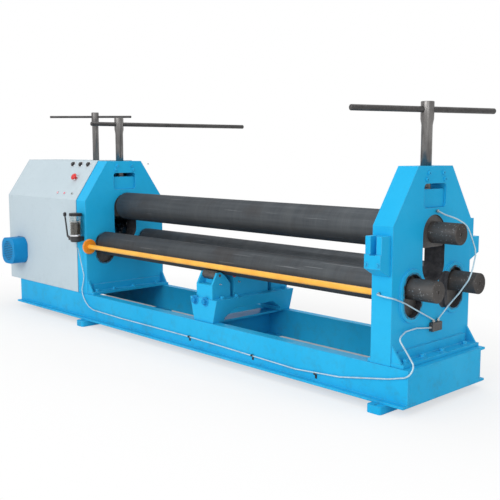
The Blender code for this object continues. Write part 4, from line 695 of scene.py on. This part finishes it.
def dress_screw(side, finishes, sizes):
    """A screw with its thread, cone and drilled head, and the bar through the head."""
    radius, head_radius, head_height, thread_top, bar_radius = sizes
    node = f"{side}_screw"
    bar_node = f"{side}_tommy_bar"
    body = f"{side}_screw_body"
    finish = finishes["screw"]
    low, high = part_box(node)
    axis = (low + high) / 2
    neck = high.z - head_height
    thread_low = low.z + SCREW_TIP_DEPTH + ROLL_EDGE
    root = radius - THREAD_DEPTH
    profile = [(low.z, 0.0), (low.z, SCREW_TIP_RADIUS - 0.001), (low.z + 0.001, SCREW_TIP_RADIUS)]
    profile += [(thread_low - ROLL_EDGE, SCREW_TIP_RADIUS), (thread_low, root)]
    profile += [(thread_top, root), (thread_top + 0.003, radius)]
    profile += [(neck - SCREW_CONE, radius), (neck, head_radius)]
    profile += rounded_edge(high.z, head_radius, ROLL_EDGE)
    profile += [(high.z - 0.0006, head_radius * 0.35), (high.z, 0.0)]
    stem = Vector((axis.x, axis.y, 0.0))
    place = Matrix.Translation(stem)
    screw = new_turned(f"{node}_turned", profile, place, 64, finish, body, 30.0)
    heading = bar_heading(bar_node)
    bore = bar_radius + 0.0006
    cutter = bmesh.new()
    add_lathe(
        cutter, [(-0.1, 0.0), (-0.1, bore), (0.1, bore), (0.1, 0.0)],
        axis_place((axis.x, axis.y, midpoint(bar_node).z), heading), 40,
    )
    carve(screw, cutter)
    bm = bmesh.new()
    add_thread(bm, stem, root, radius, thread_low, thread_top)
    new_piece(f"{node}_thread", bm, finish, body, sharp=30.0)
    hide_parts(node)
    dress_bar(bar_node, f"{side}_bar_body", heading, bar_radius, finishes["bar"])


def dress_bar(node, body, heading, radius, finish):
    """A straight bar with rounded ends."""
    start, end = bar_ends(node, heading)
    length = (end - start).length
    edge = radius * 0.45
    profile = [(0.0, 0.0)] + rounded_edge(0.0, radius, edge, foot=True)
    profile += rounded_edge(length, radius, edge) + [(length, 0.0)]
    place = axis_place(start, heading)
    bar = new_turned(f"{node}_turned", profile, place, 40, finish, body, 30.0)
    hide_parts(node)


def bar_heading(node):
    """The level direction of a straight bar, from its front to its rear end."""
    points = [vertex.co for vertex in frame["nodes"][node].data.vertices]
    ends = []
    for pick in (min, max):
        tip = pick(points, key=lambda point: point.y)
        close = [point for point in points if (point - tip).length < BAR_END]
        ends.append(sum(close, Vector()) / len(close))
    heading = ends[1] - ends[0]
    heading.z = 0.0
    return heading.normalized()


def bar_ends(node, heading):
    """Both ends of a straight bar on its axis."""
    points = [vertex.co for vertex in frame["nodes"][node].data.vertices]
    middle = sum(points, Vector()) / len(points)
    along = [(point - middle).dot(heading) for point in points]
    return middle + heading * min(along), middle + heading * max(along)


def bolt_group(name, places, across, finish):
    bm = bmesh.new()
    for place in places:
        add_bolt(bm, place, across)
    new_piece(name, bm, finish, sharp=25.0)


def screw_group(name, places, radius, finish):
    bm = bmesh.new()
    for place in places:
        add_socket_screw(bm, place, radius)
    new_piece(name, bm, finish, sharp=30.0)


def build_fasteners(finishes):
    """Fasteners of the foot plates, middle support, brackets, nut blocks and cover."""
    paint = finishes["blue"]
    for side in ("left", "right"):
        low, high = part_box(f"{side}_side_frame")
        x = high.x - FOOT_BOLT_INSET
        floor = low.z + FOOT_PLATE_THICK
        places = [axis_place((x, MACHINE_Y + y, floor), (0, 0, 1)) for y in FOOT_BOLT_Y]
        bolt_group(f"{side}_foot_bolts", places, 0.024, paint)
    build_stand_bolts(paint, finishes["cowl_blue_painted_shade"])
    build_bracket_bolts(paint, finishes["oxide"])
    build_window_screws(paint)
    build_stand_fittings(finishes["zinc"], finishes["red"])
    build_cover_screws(finishes["zinc"])


def build_stand_bolts(paint, painted_shade_blue):
    low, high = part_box("center_support")
    x = (low.x + high.x) / 2
    z = low.z + STAND_BOLT_UP
    places = []
    for y, out in ((low.y, -1), (high.y, 1)):
        places += [axis_place((x + dx, y, z), (0, out, 0)) for dx in STAND_BOLT_X]
    # Painted shade: the end bolts take the darker copy of the blue.
    bolt_group("stand_end_bolts", places, 0.030, painted_shade_blue)
    z = low.z + STAND_LUG_UP
    places = []
    for y in STAND_LUG_Y:
        places += [axis_place((x + side * STAND_LUG_OUT, y, z), (0, 0, 1)) for side in (-1, 1)]
    bolt_group("stand_lobe_bolts", places, 0.022, paint)


def build_stand_fittings(zinc, red):
    """Grease nipples below the support's rollers and one red cap between two of them."""
    x = midpoint("center_support").x + STAND_FACE_OUT
    bm = bmesh.new()
    for node in ROLLER_NODES:
        middle = midpoint(node)
        place = axis_place((x, middle.y, middle.z - NIPPLE_DROP), (1, 0, 0))
        profile = [(GAP, 0.0), (GAP, 0.0050), (0.004, 0.0050), (0.0055, 0.0034), (0.010, 0.0026)]
        profile += [(0.012, 0.0033), (0.0145, 0.0030), (0.0155, 0.0014), (0.0155, 0.0)]
        add_lathe(bm, profile, place, 20)
    new_piece("grease_nipples", bm, zinc, sharp=25.0)
    profile = [(GAP, 0.0), (GAP, 0.0105), (0.003, 0.0105), (0.004, 0.0085)]
    profile += rounded_edge(0.013, 0.0085, 0.003) + [(0.013, 0.0)]
    place = axis_place((x, *STAND_CAP_YZ), (1, 0, 0))
    new_turned("stand_cap", profile, place, 28, red)


def build_bracket_bolts(paint, oxide):
    for name, side in (("front", -1), ("rear", 1)):
        low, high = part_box(f"guide_bracket_{name}")
        x = (low.x + high.x) / 2
        y = low.y if side < 0 else high.y
        z = low.z + BRACKET_BOLT_UP
        spots = [(x - BRACKET_BOLT_OUT, y, z), (x + BRACKET_BOLT_OUT, y, z)]
        places = [axis_place(spot, (0, side, 0)) for spot in spots]
        bolt_group(f"{name}_bracket_bolts", places, 0.013, paint)
    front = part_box("right_side_frame")[0].y
    place = axis_place((BRACKET_SCREW_X, front, BRACKET_SCREW_Z), (0, -1, 0))
    screw_group("bracket_edge_screw", [place], 0.0075, oxide)


def build_window_screws(paint):
    """Screws above the windows, on every face of the frames that the cover leaves free."""
    right = ((RIGHT_OUTER, 1), (RIGHT_INNER, -1))
    left = ((LEFT_INNER, 1),)
    for side, faces in (("right", right), ("left", left)):
        places = []
        for x, out in faces:
            places += [axis_place((x, MACHINE_Y + y, z), (out, 0, 0)) for y, z in WINDOW_SCREW_YZ]
        screw_group(f"{side}_window_screws", places, 0.0105, paint)


def build_cover_screws(zinc):
    """Screws along the upper and the lower edge of the cover's rear."""
    low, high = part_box("gear_cover_rear")
    run = high.x - low.x - 2 * COVER_SCREW_INSET
    places = []
    for i in range(COVER_SCREWS):
        x = low.x + COVER_SCREW_INSET + run * i / (COVER_SCREWS - 1)
        for z in (low.z + COVER_SCREW_EDGE, high.z - COVER_SCREW_EDGE):
            places.append(axis_place((x, high.y, z), (0, 1, 0)))
    screw_group("cover_screws", places, 0.006, zinc)


def build_welds(paint):
    """Beads where the frames, their feet and the base are welded together."""
    bm = bmesh.new()
    size = 0.0035
    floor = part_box("right_side_frame")[0].z
    plate = floor + FOOT_PLATE_THICK
    leg_top = floor + LEG_TOP
    front = MACHINE_Y - LEG_REACH
    rear = MACHINE_Y + LEG_REACH
    for left, right in ((LEFT_OUTER, LEFT_INNER), (RIGHT_INNER, RIGHT_OUTER)):
        for face, leg in ((left, left - LEG_STEP), (right, right + LEG_STEP)):
            if face != LEFT_OUTER:
                add_bead(bm, (leg, front, plate), (leg, rear, plate), size)
            add_bead(bm, (face, front, leg_top), (face, rear, leg_top), size)
        for y in (MACHINE_Y - GUSSET_Y, MACHINE_Y + GUSSET_Y):
            add_bead(bm, (right + GUSSET_REACH, y, plate), (right + LEG_STEP, y, plate), size)
            add_bead(bm, (right, y, plate), (right, y, floor + GUSSET_TOP), size)
    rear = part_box("base_rear_beam")[0].y
    for node in ("base_end_beam_left", "base_end_beam_right", "base_cross_member"):
        low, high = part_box(node)
        for y in (rear, BEAM_LIP_END):
            add_bead(bm, (low.x, y, high.z), (high.x, y, high.z), 0.003)
    new_piece("weld_beads", bm, paint, sharp=80.0)


def build_clips(finish):
    """Saddle clips that hold the main pipe against the front of the base."""
    radius = 0.0052
    width = 0.014
    thick = 0.0014
    seat = BEAM_WEB_Y - GAP
    pipe_y = BEAM_WEB_Y - 0.008
    path = [Vector((seat, -0.026)), Vector((seat, -radius))]
    for k in range(9):
        angle = math.pi * k / 8
        path.append(Vector((pipe_y - radius * math.sin(angle), -radius * math.cos(angle))))
    path.append(Vector((seat, radius)))
    for i, (x, z) in enumerate(zip(CLIP_X, CLIP_Z)):
        rings = []
        for j, spot in enumerate(path):
            heading = (path[min(len(path) - 1, j + 1)] - path[max(0, j - 1)]).normalized()
            out = Vector((-abs(heading.y), heading.x if heading.y > 0 else -heading.x))
            outer = spot + out * thick
            rings.append([
                Vector((x + side * width / 2, point.x, z + point.y))
                for side, point in ((-1, spot), (1, spot), (1, outer), (-1, outer))
            ])
        bm = bmesh.new()
        add_rings(bm, rings, capped=True)
        screw_place = axis_place((x, BEAM_WEB_Y - thick, z - 0.017), (0, -1, 0))
        add_socket_screw(bm, screw_place, 0.0042)
        new_piece(f"pipe_clip_{i + 1}", bm, finish, sharp=30.0)


def build_fittings(finish):
    """Compression nuts at the ends of the pipes."""
    low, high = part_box("lube_manifold")
    middle = (low + high) / 2
    quarter = (high.y - low.y) / 4
    spots = (
        ((middle.x, low.y, middle.z), (0, -1, 0)),
        ((middle.x, middle.y - quarter, high.z), (0, 0, 1)),
        ((middle.x, middle.y + quarter, high.z), (0, 0, 1)),
        ((PIPE_ENTRY_X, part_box("right_side_frame")[0].y, PIPE_ENTRY_Z), (0, -1, 0)),
        ((RIGHT_OUTER, MACHINE_Y + TOP_ENTRY_Y, TOP_ENTRY_Z), (1, 0, 0)),
    )
    bm = bmesh.new()
    for point, direction in spots:
        add_sleeve_nut(bm, axis_place(point, direction))
    new_piece("pipe_fittings", bm, finish, sharp=25.0)


def slope_frame():
    """The foot of the cover's slope, the direction up it and its outward normal."""
    low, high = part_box("gear_cover_front")
    points = [vertex.co for vertex in frame["nodes"]["gear_cover_front"].data.vertices]
    near = 0.0005
    foot = max(p.z for p in points if p.y < low.y + near)
    crest_y = min(p.y for p in points if p.z > high.z - near)
    up = Vector((0.0, crest_y - low.y, high.z - foot)).normalized()
    return Vector((LEFT_OUTER, low.y, foot)), up, Vector((0.0, -up.z, up.y))


SLOPE_FOOT, SLOPE_UP, SLOPE_OUT = slope_frame()


def panel_place(up, from_frame):
    spot = SLOPE_FOOT + SLOPE_UP * up - Vector((from_frame, 0.0, 0.0))
    return axis_place(spot, SLOPE_OUT)


def build_controls(black, red, chrome):
    """Buttons, the mushroom stop and indicator lamps, each with its bezel."""
    for side, from_frame in zip(("left", "middle", "right"), BUTTON_FROM_FRAME):
        node = f"push_button_{side}"
        place = panel_place(BUTTON_UP, from_frame)
        profile = [(STEM_END, 0.0), (STEM_END, 0.008), (0.0046, 0.008), (0.0046, 0.0185)]
        profile += rounded_edge(0.008, 0.0185, 0.0012) + [(0.008, 0.013)]
        profile += rounded_edge(0.016, 0.013, 0.0018)
        profile += [(0.0155, 0.009), (0.0146, 0.005), (0.0144, 0.0)]
        body = f"{side}_button_body"
        button = new_turned(f"{node}_cap", profile, place, 48, black, body)
        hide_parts(node)
        new_collar(f"{node}_bezel", place, 0.0195, 0.0240, 0.0042, 0.0014, 48, chrome)
    place = panel_place(STOP_UP, STOP_FROM_FRAME)
    profile = [(STEM_END, 0.0), (STEM_END, 0.010), (0.018, 0.010), (0.021, 0.018), (0.022, 0.0245)]
    for i in range(8):
        angle = math.pi / 2 * i / 8
        profile.append((0.0245 + 0.0155 * math.sin(angle), 0.026 * math.cos(angle) ** 0.75))
    profile.append((0.040, 0.0))
    stop = new_turned("emergency_stop_cap", profile, place, 56, red, "stop_body")
    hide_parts("emergency_stop")
    new_collar("emergency_stop_collar", place, 0.0105, 0.021, 0.0055, 0.0014, 56, chrome)
    build_lamps(chrome)


def build_lamps(chrome):
    colours = ((0.10, 0.13, 0.12), (0.62, 0.10, 0.16), (0.60, 0.26, 0.30))
    profile = [(GAP, 0.0), (GAP, 0.0078), (0.0050, 0.0078)]
    for k in range(1, 6):
        angle = math.pi / 2 * k / 6
        profile.append((0.0050 + 0.0042 * math.sin(angle), 0.0078 * math.cos(angle)))
    profile.append((0.0092, 0.0))
    for i, (from_frame, colour) in enumerate(zip(LAMP_FROM_FRAME, colours)):
        place = panel_place(LAMP_UP, from_frame)
        new_collar(f"lamp_bezel_{i + 1}", place, 0.0080, 0.0115, 0.0040, 0.0012, 40, chrome)
        name = f"lamp_lens_{i + 1}"
        new_turned(name, profile, place, 40, lamp_lens(name, colour))


def build_pump(clear, black, chrome):
    """The grease pump's clear cup, lid, grease with its follower, and clamp ring."""
    low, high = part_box("lube_reservoir")
    axis = (low + high) / 2
    place = Matrix.Translation((axis.x, axis.y, low.z))
    top = high.z - low.z
    lid = top - 0.020
    outer = 0.042
    inner = 0.039
    profile = [(0.0, inner), (0.0, outer), (lid - GAP, outer), (lid - GAP, inner)]
    cup = new_turned("reservoir_cup", profile, place, 64, clear, closed=True)
    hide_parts("lube_reservoir")
    rim = 0.0455
    groove = 0.0445
    profile = [(lid, 0.0), (lid, rim)]
    for i in range(5):
        level = lid + 0.002 + i * 0.003
        profile += [(level, 0.046), (level + 0.001, groove), (level + 0.002, groove)]
    profile += rounded_edge(top, rim, 0.003)
    profile += [(top - 0.002, 0.034), (top - 0.002, 0.012), (top, 0.010), (top, 0.0)]
    new_turned("reservoir_lid", profile, place, 64, black)
    build_grease(place, inner - 0.0012, lid, chrome)
    ring = outer + 0.0022
    new_collar(
        "reservoir_clamp_ring", place, outer + GAP, ring, 0.013, 0.001, 64, chrome, low=0.001
    )


def build_grease(place, radius, lid, chrome):
    """The grease in the cup and the follower on it, with its rod up to the lid."""
    level = lid * 0.70
    profile = [(0.001, 0.0), (0.001, radius), (level, radius), (level, 0.0)]
    new_turned("reservoir_grease", profile, place, 48, grease_finish())
    base = level + GAP
    profile = [(base, 0.0), (base, radius), (base + 0.006, radius), (base + 0.006, radius - 0.006)]
    profile += [(base + 0.002, radius - 0.008), (base + 0.002, 0.006), (lid - 0.001, 0.005)]
    profile += [(lid - 0.001, 0.0)]
    new_turned("reservoir_follower", profile, place, 48, chrome)


def build_fan(black):
    """The motor's cooling fan behind the grille, on the motor's own shaft."""
    axis = midpoint("motor_pulley")
    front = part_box("motor_cowl")[0].y + 0.016
    place = Matrix.Translation((axis.x, front, axis.z)) @ Matrix.Rotation(-math.pi / 2, 4, "X")
    bm = bmesh.new()
    hub = [(0.0, 0.0), (0.0, 0.022), (0.004, 0.026), (0.040, 0.030), (0.040, 0.0)]
    add_lathe(bm, hub, place, 40)
    blades = 9
    spans = 6
    chord = 0.020
    half_thick = 0.0011
    for i in range(blades):
        turn = Matrix.Rotation(2 * math.pi * i / blades, 4, "Z")
        rings = []
        for k in range(spans + 1):
            reach = 0.024 + 0.064 * k / spans
            twist = math.radians(38 - 16 * k / spans)
            section = []
            corners = ((-chord, 0.0), (0.0, half_thick), (chord, 0.0), (0.0, -half_thick))
            for along, thick in corners:
                spot = Vector((
                    along * math.cos(twist) - thick * math.sin(twist),
                    reach,
                    0.022 + along * math.sin(twist) + thick * math.cos(twist),
                ))
                section.append(place @ turn @ spot)
            rings.append(section)
        add_rings(bm, rings, capped=True)
    new_piece("motor_fan", bm, black, "motor_pulley_body", sharp=30.0)


def dress_nodes(looks):
    """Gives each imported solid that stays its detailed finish."""
    for name, obj in frame["nodes"].items():
        finish = looks[name]
        if obj.material_slots:
            for slot in obj.material_slots:
                slot.material = finish
        else:
            obj.data.materials.append(finish)


def choose_looks(finishes):
    """The finish of each node, from its slot or by its name."""
    by_slot = {
        "blue_paint": "blue", "cover_paint": "cover", "dark_steel": "shaft",
        "bright_steel": "machined", "bronze": "bronze", "yellow_paint": "rod",
        "black_plastic": "black", "clear_plastic": "clear", "red_plastic": "red",
        "belt_rubber": "rubber",
    }
    looks = {}
    for part in frame["record"]["subparts"]:
        node = part["node"]
        key = by_slot[part["material_slot"]]
        if node.endswith("side_frame"):
            key = "frame_blue"
        elif "bearing" in node or node == "lube_manifold":
            key = "casting"
        elif node.startswith("lube_line"):
            key = "pipe"
        elif node == "motor_cowl":
            key = "cowl_blue_painted_shade"
        looks[node] = finishes[key]
    return looks


def build_finishes():
    """The shared finishes; the metals are (name, dark, light, metallic, roughness)."""
    blue = ((0.028, 0.450, 0.775), (0.013, 0.390, 0.715))
    metals = {
        "shaft": ("shaft_steel", (0.060, 0.058, 0.058), (0.120, 0.114, 0.112), 0.30, 0.42),
        "bar": ("bar_steel", (0.036, 0.034, 0.034), (0.078, 0.075, 0.074), 0.35, 0.40),
        "screw": (
            "screw_steel", (0.105, 0.100, 0.098), (0.235, 0.228, 0.222), 0.85, 0.27,
            (46.0, 46.0, 5.0),
        ),
        "casting": ("bearing_steel", (0.060, 0.058, 0.058), (0.115, 0.108, 0.102), 0.35, 0.50),
        "machined": ("machined_steel", (0.36, 0.37, 0.39), (0.50, 0.51, 0.53), 1.0, 0.30),
        "zinc": ("zinc_steel", (0.46, 0.48, 0.50), (0.62, 0.63, 0.64), 1.0, 0.32),
        "oxide": ("black_oxide_steel", (0.022, 0.022, 0.024), (0.050, 0.050, 0.054), 0.6, 0.38),
        "pipe": ("pipe_steel", (0.36, 0.56, 0.68), (0.55, 0.72, 0.80), 0.35, 0.34),
        "bronze": ("bearing_bronze", (0.36, 0.22, 0.09), (0.56, 0.36, 0.16), 1.0, 0.34),
        "fitting": ("fitting_steel", (0.30, 0.31, 0.30), (0.50, 0.50, 0.48), 1.0, 0.32),
        "chrome": ("bezel_chrome", (0.62, 0.63, 0.65), (0.76, 0.77, 0.79), 1.0, 0.16),
    }
    finishes = {key: worked_steel(*values) for key, values in metals.items()}
    finishes.update({
        "blue": enamel("blue_enamel", *blue, 0.34),
        "frame_blue": enamel("frame_enamel", *blue, 0.34, walls=True),
        # A darker copy of the machine blue, as painted shade: used on the motor cowl and the
        # support's end bolts.
        "cowl_blue_painted_shade": enamel("cowl_enamel_painted_shade", (0.012, 0.300, 0.640), (0.008, 0.200, 0.470), 0.38),
        "cover": enamel("cover_enamel", (0.520, 0.610, 0.660), (0.485, 0.575, 0.625), 0.42),
        "rod": rod_enamel(),
        "black": plastic("black_plastic_finish", (0.020, 0.020, 0.022), 0.38),
        "clear": clear_cup(),
        "red": plastic("red_plastic_finish", (0.62, 0.022, 0.020), 0.28, subsurface=0.05),
        "rubber": belt_rubber(),
    })
    return finishes


def between(graph, value, low, high):
    over = graph.math("GREATER_THAN", value, low)
    return graph.times(over, graph.math("LESS_THAN", value, high))


def seen_rays(graph):
    """One for rays from the eye, also after a reflection or through glass."""
    path = graph.node("ShaderNodeLightPath").outputs
    seen = graph.math("MAXIMUM", path["Is Camera Ray"], path["Is Glossy Ray"])
    return graph.math("MAXIMUM", seen, path["Is Transmission Ray"])


def build_floor():
    """A pale floor that is white to the eye far off and keeps the machine's shadow, with painted
    shade inside the base.
    """
    bm = bmesh.new()
    bmesh.ops.create_grid(bm, x_segments=8, y_segments=8, size=30.0)
    floor = add_object("floor", bm)
    graph = Graph("floor_finish")
    x, y, _ = graph.parts(graph.place)
    deep = graph.math("DIVIDE", graph.math("SUBTRACT", y, -0.3), 2.2)
    wide = graph.math("DIVIDE", x, 3.6)
    away = graph.math("SQRT", graph.squares(deep, wide))
    far = graph.ramp(away, (0.45, 0.0), (0.95, 1.0))
    share = graph.math("MULTIPLY_ADD", far, 0.45, 0.55)
    low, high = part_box("base_front_beam")
    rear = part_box("base_rear_beam")[1].y + SHADED_BEHIND
    along = between(graph, x, low.x + SHADED_INSET, high.x - SHADED_INSET)
    inside = graph.times(along, between(graph, y, low.y + SHADED_FROM_FRONT, rear))
    share = graph.times(share, graph.math("SUBTRACT", 1.0, inside))
    # Painted shade: the floor inside the base is coloured darker, as if in the machine's shadow.
    tone = graph.blend(inside, (0.86, 0.86, 0.86), (0.50, 0.49, 0.48))
    diffuse = graph.node("ShaderNodeBsdfDiffuse", tone).outputs[0]
    glow = graph.node("ShaderNodeEmission", (1.0, 1.0, 1.0), 1.0).outputs[0]
    lit = graph.times(seen_rays(graph), share)
    graph.surface(graph.node("ShaderNodeMixShader", lit, diffuse, glow))
    floor.data.materials.append(graph.owner)


def build_world():
    """White to the eye and in reflections, plain grey as a light."""
    graph = Graph("studio", world=True)
    level = graph.math("MULTIPLY_ADD", seen_rays(graph), 1.0 - WORLD_LEVEL, WORLD_LEVEL)
    graph.surface(graph.node("ShaderNodeBackground", (1.0, 1.0, 1.0), level))
    bpy.context.scene.world = graph.owner


def add_light(name, place, target, size, energy):
    light = bpy.data.lights.new(name, "AREA")
    light.shape = "RECTANGLE"
    light.size, light.size_y = size
    light.energy = energy
    obj = bpy.data.objects.new(name, light)
    obj.location = place
    heading = Vector(target) - Vector(place)
    obj.rotation_euler = heading.to_track_quat("-Z", "Y").to_euler()
    bpy.context.scene.collection.objects.link(obj)


def build_studio():
    build_world()
    build_floor()
    add_light("key_light", (1.2, -8.0, 4.4), (0.2, -0.4, 0.6), (6.0, 3.5), 290.0)
    add_light("side_light", (6.5, -5.0, 2.4), (0.0, -0.3, 0.6), (3.0, 3.0), 40.0)
    add_light("top_light", (0.0, 0.4, 5.6), (0.0, -0.3, 0.6), (6.0, 3.0), 85.0)
    camera = bpy.data.cameras.new("camera")
    camera.lens = 56.95
    camera.sensor_width = 36.0
    obj = bpy.data.objects.new("camera", camera)
    obj.location = (4.0405, -3.6647, 1.24)
    obj.rotation_euler = (math.radians(82.9), 0.0, math.radians(46.5))
    bpy.context.scene.collection.objects.link(obj)
    bpy.context.scene.camera = obj
    bpy.context.scene.view_settings.view_transform = "Standard"


def dress_moving_parts(finishes):
    """The rolls and screws; a screw's sizes are those of its stem, head, thread and bar."""
    for node, axis, body in (
        ("top_roll", TOP_AXIS, "top_roll_body"),
        ("front_lower_roll", FRONT_AXIS, "front_roll_body"),
        ("rear_lower_roll", REAR_AXIS, "rear_roll_body"),
    ):
        dress_roll(node, body, roll_steel(f"{node}_steel", axis))
    thread_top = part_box("right_side_frame")[1].z - 0.006
    pressing = (0.028, 0.0335, 0.086, thread_top, 0.015)
    balance = (0.024, 0.028, 0.070, thread_top, 0.0085)
    for side, sizes in (("right", pressing), ("left", pressing), ("balance", balance)):
        dress_screw(side, finishes, sizes)


def main():
    build_studio()
    finishes = build_finishes()
    dress_nodes(choose_looks(finishes))
    dress_moving_parts(finishes)
    build_controls(finishes["black"], finishes["red"], finishes["chrome"])
    build_pump(finishes["clear"], finishes["black"], finishes["chrome"])
    build_fan(finishes["black"])
    build_fasteners(finishes)
    build_welds(finishes["blue"])
    build_clips(finishes["oxide"])
    build_fittings(finishes["fitting"])


main()
